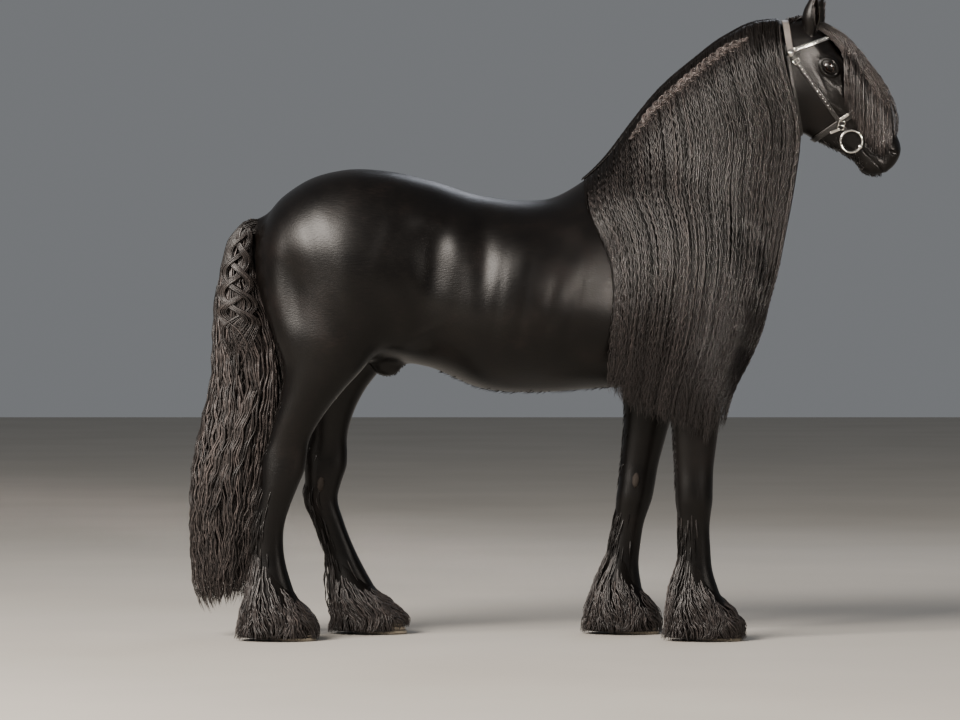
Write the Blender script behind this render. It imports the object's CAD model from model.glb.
"""Dresses a life-size Friesian stallion that stands in a show pose with its presentation bridle.

The horse faces +X with its right side towards -Y. Its flesh is the same field that the solids
were grown from, meshed here finely as one skin. Mane, forelock, tail and feather are thousands of
tapered locks of solid mesh, which follow paths that rest on that skin. All lengths are in metres.
"""

import logging
import math
from dataclasses import dataclass, field
from enum import Enum
from typing import Callable, Optional, Sequence

import bmesh
import bpy
import numpy as np
from mathutils import Matrix, Vector

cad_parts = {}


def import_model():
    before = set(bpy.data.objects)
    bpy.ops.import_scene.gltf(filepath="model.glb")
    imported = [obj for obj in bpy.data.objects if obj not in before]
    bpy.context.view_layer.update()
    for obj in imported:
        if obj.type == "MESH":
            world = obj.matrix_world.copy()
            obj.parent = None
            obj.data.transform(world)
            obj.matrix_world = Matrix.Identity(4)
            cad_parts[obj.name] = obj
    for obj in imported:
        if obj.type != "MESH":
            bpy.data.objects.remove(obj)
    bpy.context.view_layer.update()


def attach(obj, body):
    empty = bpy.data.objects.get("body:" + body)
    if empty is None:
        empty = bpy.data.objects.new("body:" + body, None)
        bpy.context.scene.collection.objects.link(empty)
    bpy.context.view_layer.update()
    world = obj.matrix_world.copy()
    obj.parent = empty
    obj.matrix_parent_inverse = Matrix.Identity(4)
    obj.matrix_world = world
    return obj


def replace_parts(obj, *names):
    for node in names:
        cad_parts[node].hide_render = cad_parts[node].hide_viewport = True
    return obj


LOG = logging.getLogger("friesian")
Array = np.ndarray
Field = Callable[[Array], Array]
Rows = Sequence[Sequence[float]]
Draws = np.random.Generator
Piece = bpy.types.Object
Tree = bpy.types.NodeTree
Socket = bpy.types.NodeSocket
Sockets = bpy.types.NodeInputs
Stops = Sequence[tuple[float, object]]

NECK_ROOT = (0.350, 0.0, 1.280)
NECK_PITCH = math.radians(53.5)
POLL = (0.900, 0.0, 2.100)
HEAD_PITCH = math.radians(-55.8)
BARREL_HALF_WIDTH = 0.320
STANCE_HALF_WIDTH = 0.165
COAT_DEPTH = 0.0015
BODY = "root"
TURN = math.tau
SIDEWAYS = np.array([0.0, 1.0, 0.0])
DOWN = np.array([0.0, 0.0, -1.0])
# A height over the whole horse and a place beside it, from which rays look for the skin
OVERHEAD = 2.4
BESIDE = 0.60
# Steps that spread places evenly, however many there are
GOLDEN_STEP = 0.618034
SECOND_STEP = 0.754878


class Side(Enum):
    """The two sides of the horse, by the sign of Y."""

    RIGHT = -1
    LEFT = 1

    @property
    def word(self) -> str:
        """The side's name in lower case."""
        return self.name.lower()


# Loft sections: (place along the axis, upper or front reach, lower or rear reach, half width,
# widest place)
TRUNK = [
    (-1.005, 1.43, 1.19, 0.42, 1.33), (-0.94, 1.512, 1.06, 0.64, 1.32),
         (-0.84, 1.59, 0.99, 0.82, 1.32),
    (-0.7, 1.634, 0.96, 0.915, 1.32), (-0.55, 1.632, 0.965, 0.915, 1.3),
         (-0.4, 1.602, 0.945, 0.895, 1.26),
    (-0.22, 1.548, 0.872, 0.965, 1.19), (0.0, 1.532, 0.857, 1.0, 1.17),
         (0.16, 1.57, 0.868, 0.945, 1.17),
    (0.32, 1.58, 0.882, 0.845, 1.17), (0.48, 1.52, 0.93, 0.765, 1.19),
         (0.62, 1.42, 1.0, 0.64, 1.21),
    (0.71, 1.34, 1.08, 0.47, 1.22),
]
NECK = [
    (-0.05, 0.3, -0.36, 0.2, -0.06), (0.12, 0.328, -0.34, 0.19, -0.06),
        (0.28, 0.326, -0.28, 0.16, -0.05),
    (0.4, 0.326, -0.23, 0.136, -0.03), (0.55, 0.318, -0.182, 0.118, 0.0),
        (0.7, 0.284, -0.15, 0.11, 0.01),
    (0.84, 0.24, -0.12, 0.104, 0.02), (0.95, 0.175, -0.09, 0.09, 0.03),
        (1.02, 0.09, -0.06, 0.07, 0.02),
]
HEAD = [
    (-0.045, 0.05, -0.08, 0.054, -0.01), (0.03, 0.07, -0.13, 0.074, -0.01),
        (0.1, 0.08, -0.16, 0.087, 0.0),
    (0.16, 0.084, -0.184, 0.089, 0.01), (0.23, 0.087, -0.196, 0.082, 0.0),
        (0.3, 0.091, -0.18, 0.068, 0.0),
    (0.36, 0.094, -0.143, 0.058, 0.005), (0.42, 0.094, -0.108, 0.052, 0.005),
        (0.47, 0.089, -0.086, 0.051, 0.01),
    (0.52, 0.074, -0.076, 0.051, 0.005), (0.556, 0.046, -0.06, 0.045, 0.0),
]
# Leg girths: (height, reach in front of the leg's line, reach behind it, half width)
FORE_GIRTH = [
    (1.25, 0.12, 0.13, 0.03), (1.12, 0.145, 0.145, 0.066), (0.98, 0.125, 0.13, 0.086),
              (0.88, 0.104, 0.11, 0.08),
    (0.78, 0.088, 0.088, 0.072), (0.68, 0.075, 0.077, 0.063), (0.59, 0.068, 0.069, 0.057),
              (0.525, 0.068, 0.065, 0.059),
    (0.48, 0.067, 0.064, 0.058), (0.44, 0.06, 0.06, 0.05), (0.4, 0.053, 0.057, 0.043),
    (0.32, 0.051, 0.058, 0.04), (0.24, 0.053, 0.062, 0.044), (0.185, 0.058, 0.066, 0.05),
    (0.13, 0.052, 0.056, 0.048), (0.095, 0.052, 0.052, 0.052), (0.06, 0.058, 0.056, 0.058),
    (0.025, 0.064, 0.058, 0.062),
]
HIND_GIRTH = [
    (1.35, 0.16, 0.16, 0.04), (1.18, 0.215, 0.205, 0.098), (1.05, 0.19, 0.18, 0.112),
              (0.95, 0.155, 0.13, 0.102),
    (0.86, 0.112, 0.098, 0.086), (0.77, 0.086, 0.08, 0.068), (0.69, 0.07, 0.074, 0.054),
              (0.635, 0.072, 0.084, 0.05),
    (0.59, 0.072, 0.08, 0.051), (0.54, 0.066, 0.067, 0.05), (0.48, 0.059, 0.059, 0.045),
    (0.4, 0.05, 0.057, 0.041), (0.3, 0.05, 0.059, 0.041), (0.195, 0.057, 0.066, 0.05),
    (0.14, 0.052, 0.058, 0.048), (0.095, 0.053, 0.052, 0.052), (0.06, 0.059, 0.056, 0.058),
    (0.025, 0.064, 0.058, 0.062),
]
# Each leg's line as it stands: (height, how far forward)
FORE_RIGHT_LINE = [(1.25, 0.47), (1.0, 0.505), (0.85, 0.524), (0.7, 0.527), (0.59, 0.523),
                   (0.49, 0.521),
                   (0.35, 0.529), (0.24, 0.536), (0.185, 0.548), (0.13, 0.575), (0.06, 0.608)]
FORE_LEFT_LINE = [(1.25, 0.45), (1.0, 0.42), (0.85, 0.388), (0.7, 0.364), (0.59, 0.344),
                  (0.49, 0.327),
                  (0.35, 0.304), (0.24, 0.291), (0.185, 0.293), (0.13, 0.311), (0.06, 0.334)]
HIND_RIGHT_LINE = [(1.35, -0.74), (1.18, -0.735), (1.0, -0.758), (0.9, -0.79), (0.8, -0.84),
                   (0.69, -0.88),
                   (0.59, -0.898), (0.48, -0.93), (0.38, -0.948), (0.28, -0.945), (0.195, -0.928),
                   (0.14, -0.903),
                   (0.06, -0.87)]
HIND_LEFT_LINE = [(1.35, -0.72), (1.18, -0.7), (1.0, -0.705), (0.9, -0.728), (0.8, -0.752),
                  (0.69, -0.758),
                  (0.59, -0.762), (0.48, -0.78), (0.38, -0.742), (0.28, -0.703), (0.195, -0.664),
                  (0.14, -0.626),
                  (0.06, -0.56)]
# Muscles and hollows on both sides: (x, y, z, size in x, y and z, pitch in degrees, height)
BODY_FORMS = [
    (0.4, 0.235, 1.08, 0.12, 0.08, 0.13, 0, 0.016), (0.62, 0.17, 1.13, 0.07, 0.07, 0.09, 0, 0.018),
    (0.44, 0.21, 1.33, 0.06, 0.08, 0.2, -25, 0.01), (0.24, 0.24, 1.3, 0.06, 0.08, 0.2, -20, -0.01),
    (0.72, 0.085, 1.1, 0.06, 0.055, 0.12, 0, 0.022),
              (0.74, 0.0, 1.08, 0.06, 0.018, 0.15, 0, -0.014),
    (0.33, 0.2, 0.96, 0.04, 0.05, 0.04, 0, 0.012), (-0.62, 0.15, 1.58, 0.2, 0.1, 0.1, 0, 0.014),
    (-0.68, 0.0, 1.63, 0.26, 0.022, 0.08, 0, -0.014),
              (-0.4, 0.23, 1.45, 0.06, 0.06, 0.05, 0, 0.014),
    (-0.34, 0.29, 1.27, 0.08, 0.08, 0.13, 20, -0.016), (-0.64, 0.28, 1.18, 0.14, 0.08, 0.18, 15,
                                                        0.016),
    (-0.86, 0.2, 1.18, 0.035, 0.09, 0.2, 10, -0.01), (-0.93, 0.16, 1.16, 0.07, 0.08, 0.15, 5,
                                                      0.012),
    (-0.5, 0.2, 1.02, 0.07, 0.08, 0.08, 0, 0.016), (-0.05, 0.31, 1.12, 0.22, 0.08, 0.16, 0, 0.008),
    (0.56, 0.15, 1.56, 0.05, 0.06, 0.26, -37, -0.01),
]
HEAD_FORMS = [
    (0.138, 0.088, 0.04, 0.044, 0.034, 0.028, 0, 0.019), (0.08, 0.072, 0.046, 0.028, 0.022, 0.022,
                                                          0, -0.011),
    (0.195, 0.075, -0.085, 0.075, 0.03, 0.06, 0, 0.011), (0.29, 0.066, -0.004, 0.08, 0.02, 0.01, -4,
                                                          0.007),
    (0.345, 0.055, -0.075, 0.05, 0.03, 0.036, 10, -0.01), (0.32, 0.05, 0.052, 0.08, 0.022, 0.02, 0,
                                                           -0.006),
    (0.505, 0.046, 0.044, 0.03, 0.022, 0.026, 0, 0.011),
              (0.46, 0.04, 0.0, 0.03, 0.02, 0.03, 0, -0.004),
    (0.545, 0.02, -0.004, 0.026, 0.032, 0.024, 0, 0.006), (0.5, 0.0, -0.078, 0.034, 0.03, 0.02, 0,
                                                           0.009),
    (0.24, 0.0, -0.19, 0.11, 0.022, 0.03, 0, -0.02), (0.03, 0.06, -0.08, 0.04, 0.03, 0.06, 0,
                                                      0.006),
]
# Finer forms of the coat's surface that the solids leave out, on the body and on the head
BODY_RELIEF = [
    (0.105, 0.3, 1.15, 0.016, 0.08, 0.17, -14, -0.003), (0.02, 0.31, 1.15, 0.016, 0.08, 0.17, -12,
                                                         -0.0026),
    (-0.07, 0.31, 1.15, 0.016, 0.08, 0.17, -10, -0.0026), (-0.16, 0.31, 1.15, 0.016, 0.08, 0.15, -8,
                                                           -0.0024),
    (-0.395, 0.27, 1.27, 0.04, 0.1, 0.18, -8, -0.006), (-0.315, 0.27, 1.29, 0.04, 0.1, 0.18, -8,
                                                        0.006),
    (-0.205, 0.28, 1.31, 0.04, 0.1, 0.2, 0, -0.01), (-0.07, 0.3, 1.34, 0.07, 0.1, 0.13, 0, 0.006),
    (-0.85, 0.25, 1.21, 0.08, 0.1, 0.1, 0, -0.0085), (-0.71, 0.26, 1.03, 0.06, 0.1, 0.08, 30,
                                                      0.005),
    (-0.455, 0.25, 1.18, 0.03, 0.09, 0.15, 22, -0.004), (-0.56, 0.23, 1.33, 0.03, 0.08, 0.11, -20,
                                                         0.005),
    (-0.76, 0.25, 1.33, 0.034, 0.08, 0.2, 16, -0.005), (-0.42, 0.24, 1.06, 0.07, 0.06, 0.014, 28,
                                                        0.005),
    (0.3, 0.21, 1.01, 0.06, 0.07, 0.018, -20, -0.004),
]
HEAD_RELIEF = [
    (0.25, 0.07, -0.05, 0.075, 0.02, 0.0045, 18, 0.0022),
               (0.33, 0.06, -0.028, 0.05, 0.02, 0.004, -24, 0.002),
    (0.11, 0.08, 0.07, 0.03, 0.02, 0.006, 12, 0.0026), (0.44, 0.048, 0.03, 0.04, 0.018, 0.005, 30,
                                                        -0.0024),
    (0.48, 0.048, -0.022, 0.02, 0.016, 0.005, 60, -0.0022),
               (0.452, 0.05, -0.04, 0.012, 0.018, 0.004, 80, -0.002),
    (0.16, 0.084, -0.03, 0.06, 0.03, 0.006, -10, -0.002), (0.205, 0.08, 0.0, 0.03, 0.03, 0.005, 20,
                                                           -0.0018),
]

# The mane's edges as it hangs at the horse's right: (height, how far forward), and where it ends:
# (share of the way from the withers to the poll, height of the tips)
MANE_FRONT = [(2.1, 0.838), (1.92, 0.862), (1.74, 0.886), (1.62, 0.872), (1.5, 0.853), (1.4, 0.834),
              (1.28, 0.812), (1.18, 0.785), (1.07, 0.758), (1.0, 0.73), (0.85, 0.65), (0.7, 0.612)]
MANE_REAR = [(1.56, 0.15), (1.4, 0.228), (1.23, 0.25), (1.05, 0.238), (0.88, 0.228), (0.7, 0.228)]
MANE_ROOTS = (0.165, 0.795)
MANE_ENDS = [(0.0, 0.855), (0.12, 0.805), (0.3, 0.752), (0.5, 0.724), (0.7, 0.696), (0.88, 0.668),
             (1.0, 0.72)]
CREST_SIDE = -0.012
# The forelock's front outline from the side, and where it ends: (how far to the side, height of
# the tips)
FORELOCK_OUTLINE = [(2.15, 0.972), (2.11, 1.041), (2.065, 1.088), (2.006, 1.136), (1.95, 1.185),
                    (1.904, 1.216),
                    (1.855, 1.244), (1.808, 1.262), (1.764, 1.257), (1.68, 1.235)]
FORELOCK_FRONT = 1.262
FORELOCK_REAR = 1.050
FORELOCK_ENDS = [(0.0, 1.74), (0.12, 1.72), (0.28, 1.675), (0.45, 1.668), (0.61, 1.7), (0.79, 1.76),
                 (1.0, 1.85)]
# The tail's outline from the side: (height, rear edge, front edge, half width)
TAIL_OUTLINE = [(1.44, -1.052, -1.0, 0.035), (1.36, -1.1, -1.004, 0.058),
                (1.28, -1.13, -0.996, 0.074),
                (1.18, -1.15, -0.966, 0.086), (1.06, -1.156, -0.93, 0.094),
                (0.9, -1.166, -0.9, 0.1),
                (0.75, -1.197, -0.914, 0.104), (0.6, -1.228, -0.95, 0.107),
                (0.44, -1.238, -0.98, 0.108),
                (0.28, -1.234, -1.0, 0.106), (0.14, -1.216, -1.03, 0.098),
                (0.075, -1.19, -1.05, 0.082)]
DOCK = [(-0.96, 1.425), (-1.02, 1.42), (-1.062, 1.37), (-1.085, 1.28), (-1.092, 1.18),
        (-1.095, 1.08)]
# The feather's outline round a leg: (height, shift of its middle, reach forward and back, half
# width)
FEATHER_OUTLINE = [(0.42, -0.002, 0.056, 0.043), (0.32, -0.007, 0.062, 0.049),
                   (0.215, -0.016, 0.08, 0.068),
                   (0.14, -0.032, 0.107, 0.089), (0.08, -0.046, 0.131, 0.101),
                   (0.01, -0.052, 0.146, 0.111)]


def direction(pitch: float) -> Array:
    """Unit vector in the plane of symmetry, at this angle above +X."""
    return np.array([math.cos(pitch), 0.0, math.sin(pitch)])


HEAD_AHEAD = direction(HEAD_PITCH)
HEAD_ABOVE = direction(HEAD_PITCH + math.pi / 2)


def smooth(t: Array) -> Array:
    """0 to 1 as t goes from 0 to 1, with no kink at either end."""
    t = np.clip(t, 0, 1)
    return t * t * (3 - 2 * t)


def unit(vectors: Array) -> Array:
    """Vectors at length one."""
    return vectors / np.maximum(np.linalg.norm(vectors, axis=-1, keepdims=True), 1e-9)


def full_turn(count: int) -> Array:
    """Angles spaced evenly round a circle."""
    return np.linspace(0, TURN, count, endpoint=False)


def lengths_along(path: Array) -> Array:
    """The distance along a path from its start to each of its points."""
    return np.concatenate([[0], np.cumsum(np.linalg.norm(np.diff(path, axis=0), axis=1))])


def turned_to(look: Array, at: Array) -> Matrix:
    """The transform that moves a thing from the origin to a place and turns its z axis this way."""
    return Matrix.Translation(Vector(at)) @ Vector(look).to_track_quat("Z", "Y").to_matrix().to_4x4()


def curve_through(rows: Rows, at: Array) -> Array:
    """Read a table on a smooth curve through its rows.

    Args:
        rows: The table, with its key in the first column.
        at: Keys to read it at.

    Returns:
        Every column after the first, along a new last axis.
    """
    table = np.array(rows, float)
    if table[0, 0] > table[-1, 0]:
        table = table[::-1]
    keys, values = table[:, 0], table[:, 1:]
    slope = np.gradient(values, keys, axis=0)
    at = np.clip(at, keys[0], keys[-1])
    cell = np.clip(np.searchsorted(keys, at) - 1, 0, len(keys) - 2)
    width = (keys[cell + 1] - keys[cell])[..., None]
    t = (at - keys[cell])[..., None] / width
    a, b = values[cell], values[cell + 1]
    ma, mb = slope[cell] * width, slope[cell + 1] * width
    return a * (2 * t**3 - 3 * t**2 + 1) + ma * (t**3 - 2 * t**2 + t) + b * (3 * t**2
                                                                             - 2 * t**3) + mb * (t**3 - t**2)


def joined(a: Array, b: Array, radius: float) -> Array:
    """Two fields as one form, with a fillet of about this radius where they meet."""
    share = np.clip(0.5 + 0.5 * (b - a) / radius, 0, 1)
    return b + (a - b) * share - radius * share * (1 - share)


def carved(a: Array, b: Array, radius: float) -> Array:
    """Field a with form b taken out of it."""
    return -joined(-a, b, radius)


def loft(along: Array, up: Array, side: Array, rows: Rows, roundness: float = 2.0,
         end_radius: float = 0.03,
         middle: float = 0.0) -> Array:
    """Field of a body whose oval section changes along its axis.

    Args:
        along: Place of each point along the loft's axis.
        up: Its place towards the upper or front side.
        side: Its place sideways.
        rows: The loft's sections.
        roundness: 2 for ovals, more for squarer sections.
        end_radius: Radius of the ends' edges.
        middle: Where sideways the sections are centred.

    Returns:
        The field's value at each point, negative inside.
    """
    sections = curve_through(rows, along)
    upper, lower, half_width, widest = np.moveaxis(sections, -1, 0)
    rise, spread = up - widest, side - middle
    reach = np.where(rise > 0, upper - widest, widest - lower)
    radius = np.hypot(rise, spread) + 1e-9
    share = ((np.abs(rise) / reach) ** roundness
             + (np.abs(spread) / half_width) ** roundness) ** (1 / roundness)
    shape = radius - radius / (share + 1e-9)
    keys = [row[0] for row in rows]
    return carved(shape, -np.maximum(along - max(keys), min(keys) - along), end_radius)


def swelling(points: Array, forms: Rows) -> Array:
    """How far the muscles and hollows of a table move the surface out at each point."""
    mirrored = points * np.array([1.0, 0.0, 1.0]) + np.abs(points) * np.array([0.0, 1.0, 0.0])
    total = np.zeros(points.shape[:-1])
    for x, y, z, size_x, size_y, size_z, pitch, height in forms:
        offset = mirrored - np.array([x, y, z])
        c, s = math.cos(math.radians(pitch)), math.sin(math.radians(pitch))
        along = (offset[..., 0] * c + offset[..., 2] * s) / size_x
        up = (-offset[..., 0] * s + offset[..., 2] * c) / size_z
        total += height * np.exp(-(along**2 + (offset[..., 1] / size_y) ** 2 + up**2))
    return total


def ball(points: Array, centre: Sequence[float], size: Sequence[float]) -> Array:
    """Field of an ellipsoid."""
    share = np.linalg.norm((points - np.array(centre)) / np.array(size), axis=-1)
    return (share - 1) * min(size)


def in_frame(points: Array, origin: Sequence[float], pitch: float) -> tuple[Array, Array]:
    """(along, up) of each point in a sloping part's frame."""
    offset = points - np.array(origin)
    return offset @ direction(pitch), offset @ direction(pitch + math.pi / 2)


def on_head(along: Array, side: Array, up: Array) -> Array:
    """World place of points given in the head's own frame."""
    along, side, up = np.broadcast_arrays(along, side, up)
    place = np.array(POLL) + along[..., None] * HEAD_AHEAD + up[..., None] * HEAD_ABOVE
    place[..., 1] += side
    return place


@dataclass(frozen=True)
class Leg:
    """One leg's place: its node's name, girth, line and side."""

    name: str
    girth: Rows
    line: Rows
    side: Side

    @property
    def rows(self) -> Rows:
        """The leg's loft sections: its girth carried along its line."""
        middles = curve_through(self.line, np.array([row[0] for row in self.girth]))[:, 0]
        return [(z, x + front, x - back, half, x) for (z, front, back, half),
                x in zip(self.girth, middles)]

    @property
    def hoof_x(self) -> float:
        """How far forward its hoof stands."""
        return self.line[-1][1]


LEGS = (
    Leg("foreleg_right", FORE_GIRTH, FORE_RIGHT_LINE, Side.RIGHT),
    Leg("foreleg_left", FORE_GIRTH, FORE_LEFT_LINE, Side.LEFT),
    Leg("hindleg_right", HIND_GIRTH, HIND_RIGHT_LINE, Side.RIGHT),
    Leg("hindleg_left", HIND_GIRTH, HIND_LEFT_LINE, Side.LEFT),
)
LEG_ROWS = tuple((leg.rows, leg.side.value) for leg in LEGS)
TRUNK_ROWS = [row[:3] + (row[3] * BARREL_HALF_WIDTH,) + row[4:] for row in TRUNK]


def body_field(points: Array) -> Array:
    """The flesh of the whole horse without its dock, as the solids have it."""
    x, y, z = points[..., 0], points[..., 1], points[..., 2]
    body = loft(x, z, y, TRUNK_ROWS, 2.1, 0.10)
    along, up = in_frame(points, NECK_ROOT, NECK_PITCH)
    body = joined(body, loft(along, up, y, NECK, 2.0, 0.05), 0.12)
    for rows, side in LEG_ROWS:
        body = joined(body, loft(z, x, y, rows, 2.3, 0.01, side * STANCE_HALF_WIDTH), 0.06)
    sheath = ball(points, (-0.545, 0.0, 0.960), (0.056, 0.040, 0.048))
    tail_head = ball(points, (-0.975, 0.0, 1.425), (0.06, 0.043, 0.043))
    body = joined(joined(body, sheath, 0.03), tail_head, 0.05)
    body = body - swelling(points, BODY_FORMS)
    along, up = in_frame(points, POLL, HEAD_PITCH)
    head = loft(along, up, y, HEAD, 2.4, 0.035) - swelling(np.stack([along, y, up], -1), HEAD_FORMS)
    return joined(body, head, 0.05)


def slope_of(shape: Field, points: Array, step: float = 0.001) -> Array:
    """The field's gradient at each point."""
    parts = [(shape(points + step * axis) - shape(points - step * axis)) / (2 * step)
             for axis in np.eye(3)]
    return np.stack(parts, -1)


def skin_hit(start: Array, way: Sequence[float], reach: float, lift: object = 0.0,
             steps: int = 32) -> Array:
    """Find the raised skin along rays.

    Args:
        start: Where the rays start.
        way: Their direction.
        reach: How far they are followed.
        lift: How far the skin is raised.
        steps: How many places are tried before the search is refined.

    Returns:
        The distance to the raised skin, or nan where it isn't met.
    """
    start = np.asarray(start, float)
    way = np.broadcast_to(np.asarray(way, float), start.shape)
    lift = np.broadcast_to(np.asarray(lift, float), start.shape[:-1])
    distance = np.linspace(0, reach, steps)
    inside = body_field(start[..., None, :] + distance[:, None] * way[..., None,
                                                                      :]) < lift[..., None]
    first = inside.argmax(-1)
    far, near = distance[first], distance[np.maximum(first - 1, 0)]
    for _ in range(9):
        middle = (near + far) / 2
        within = body_field(start + middle[..., None] * way) < lift
        far, near = np.where(within, middle, far), np.where(within, near, middle)
    return np.where(inside.any(-1) & (first > 0), (near + far) / 2, np.nan)


def met_skin(start: Array, way: Array, reach: float, lift: object = 0.0, steps: int = 32) -> Array:
    """The places where skin_hit, with the same arguments, finds the raised skin."""
    return start + way * skin_hit(start, way, reach, lift, steps)[..., None]


def skin_field(points: Array) -> Array:
    """The skin: the flesh less the coat's depth, with its folds, veins and hollows."""
    shape = body_field(points) + COAT_DEPTH - swelling(points, BODY_RELIEF)
    along, up = in_frame(points, POLL, HEAD_PITCH)
    local = np.stack([along, points[..., 1], up], -1)
    near = (along > -0.05) & (np.abs(points[..., 1]) < 0.16) & (points[..., 0] > 0.8)
    relief = swelling(local[near], HEAD_RELIEF)
    relief += mouth_relief(local[near])
    shape[near] -= relief
    for side in Side:
        shape[near] = carved(shape[near], nostril(local[near], side), 0.004)
        shape[near] = carved(shape[near], ball(local[near], (0.146, side.value * 0.094, 0.017),
                                               (0.022, 0.014, 0.015)), 0.004)
    return shape


def mouth_relief(local: Array) -> Array:
    """How far the lips stand out and the line between them falls in, in the head's frame."""
    line = -0.046 + 0.018 * smooth((local[..., 0] - 0.435) / 0.12)
    off = local[..., 2] - line
    ends = smooth((local[..., 0] - 0.428) / 0.014)
    groove = -0.0050 * np.exp(-((off / 0.0026) ** 2))
    lips = 0.0024 * np.exp(-(((off - 0.011) / 0.009) ** 2)) + 0.0020 * np.exp(-(((off + 0.011)
                                                                                 / 0.009) ** 2))
    return ends * (groove + lips)


def nostril(local: Array, side: Side) -> Array:
    """Field of one nostril's hollow, a slanted comma, in the head's frame."""
    offset = local - np.array([0.520, side.value * 0.060, 0.040])
    c, s = math.cos(math.radians(35)), math.sin(math.radians(35))
    along, up = offset[..., 0] * c + offset[..., 2] * s, -offset[..., 0] * s + offset[..., 2] * c
    up = up - 9.0 * along**2
    return ball(np.stack([along, offset[..., 1], up], -1), (0, 0, 0), (0.020, 0.017, 0.0085))


def sampled(shape: Field, low: Sequence[float], high: Sequence[float], cell: float,
            coarse: int = 4) -> Array:
    """The field's values on a grid of points, worked out finely only near its surface."""
    counts = [int(math.ceil((b - a) / (cell * coarse))) * coarse + 1 for a, b in zip(low, high)]
    axes = [a + cell * np.arange(n) for a, n in zip(low, counts)]
    values = shape(np.stack(np.meshgrid(*[axis[::coarse] for axis in axes], indexing="ij"), -1))
    for axis, count in enumerate(counts):
        nearest = np.clip((np.arange(count) + coarse // 2) // coarse, 0, values.shape[axis] - 1)
        values = np.take(values, nearest, axis=axis)
    close = np.abs(values) < cell * coarse * 1.6
    index = np.nonzero(close)
    values[close] = shape(np.stack([axis[i] for axis, i in zip(axes, index)], -1))
    return values


def net_of(values: Array, low: Sequence[float], cell: float) -> tuple[Array, Array]:
    """(points, quads) of the surface where gridded values change sign."""
    inside = values < 0
    cells = tuple(n - 1 for n in values.shape)
    total, crossings = np.zeros(cells + (3,), np.float32), np.zeros(cells, np.float32)

    def corner(array: Array, offset: Sequence[int]) -> Array:
        """The array shifted to one corner of each cell."""
        return array[tuple(slice(o, o + n) for o, n in zip(offset, cells))]

    for a in [(i, j, k) for i in (0, 1) for j in (0, 1) for k in (0, 1)]:
        for axis in range(3):
            if a[axis]:
                continue
            b = tuple(o + (n == axis) for n, o in enumerate(a))
            fa, fb = corner(values, a), corner(values, b)
            crossed = corner(inside, a) != corner(inside, b)
            share = np.where(crossed, fa / np.where(crossed, fa - fb, 1), 0)
            for n in range(3):
                total[..., n] += (a[n] + (share if n == axis else 0)) * crossed
            crossings += crossed
    used = crossings > 0
    number = np.full(cells, -1)
    number[used] = np.arange(used.sum())
    base = np.stack(np.nonzero(used), -1)
    points = (base + total[used] / crossings[used][:, None]) * cell + np.array(low)
    quads = []
    for axis in range(3):
        one, two = (axis + 1) % 3, (axis + 2) % 3
        head = [slice(1, n) for n in cells]
        head[axis] = slice(0, cells[axis])
        tail = list(head)
        tail[axis] = slice(1, cells[axis] + 1)
        start, end = inside[tuple(head)], inside[tuple(tail)]
        for leaving in (True, False):
            place = np.stack(np.nonzero((start & ~end) if leaving else (~start & end)), -1)
            place[:, one] += 1
            place[:, two] += 1
            ring = []
            for back_one, back_two in ((0, 0), (1, 0), (1, 1), (0, 1)):
                at = place.copy()
                at[:, one] -= back_one
                at[:, two] -= back_two
                ring.append(number[tuple(at.T)])
            ring = np.stack(ring, -1)
            quads.append(ring if leaving else ring[:, ::-1])
    return points, np.concatenate(quads)


def settled(shape: Field, points: Array, reach: float, rounds: int = 2) -> Array:
    """Points within reach of the surface moved onto it."""
    for _ in range(rounds):
        value, slope = shape(points), slope_of(shape, points)
        move = slope * (value / np.maximum((slope**2).sum(-1), 0.2))[..., None]
        points = points - np.where(np.abs(value)[..., None] < reach, move, 0)
    return points


def new_mesh(name: str, points: Array, quads: Optional[Array] = None,
             triangles: Optional[Array] = None) -> Piece:
    """A shaded-smooth mesh object in the scene.

    Args:
        name: The object's name.
        points: Its vertices.
        quads: Its faces of four corners.
        triangles: Its faces of three corners.

    Returns:
        The new object.
    """
    quads = np.zeros((0, 4), int) if quads is None else np.asarray(quads)
    triangles = np.zeros((0, 3), int) if triangles is None else np.asarray(triangles)
    mesh = bpy.data.meshes.new(name)
    mesh.vertices.add(len(points))
    mesh.vertices.foreach_set("co", np.asarray(points, np.float32).ravel())
    corners = np.concatenate([quads.ravel(), triangles.ravel()]).astype(np.int32)
    mesh.loops.add(len(corners))
    mesh.loops.foreach_set("vertex_index", corners)
    starts = np.concatenate([np.arange(len(quads)) * 4,
                             len(quads) * 4 + np.arange(len(triangles)) * 3])
    mesh.polygons.add(len(starts))
    mesh.polygons.foreach_set("loop_start", starts.astype(np.int32))
    mesh.update(calc_edges=True)
    mesh.validate()
    mesh.shade_smooth()
    made = bpy.data.objects.new(name, mesh)
    bpy.context.scene.collection.objects.link(made)
    return made


def give_values(made: Piece, name: str, values: Array) -> None:
    """Store one number for each vertex of a mesh under a name that its finish reads."""
    attribute = made.data.attributes.new(name, "FLOAT", "POINT")
    attribute.data.foreach_set("value", np.asarray(values, np.float32).ravel())


def ring_faces(count: int, sides: int, loop: bool = False) -> tuple[Array, Array]:
    """Faces between rings of points.

    Args:
        count: How many rings there are.
        sides: How many points each has.
        loop: Whether the last ring meets the first.

    Returns:
        Each ring's point numbers, and the quads between the rings.
    """
    number = np.arange(count * sides).reshape(count, sides)
    if loop:
        number = np.concatenate([number, number[:1]])
    turned = np.roll(number, -1, 1)
    return number, np.stack([number[:-1], turned[:-1], turned[1:], number[1:]], -1).reshape(-1, 4)


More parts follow.
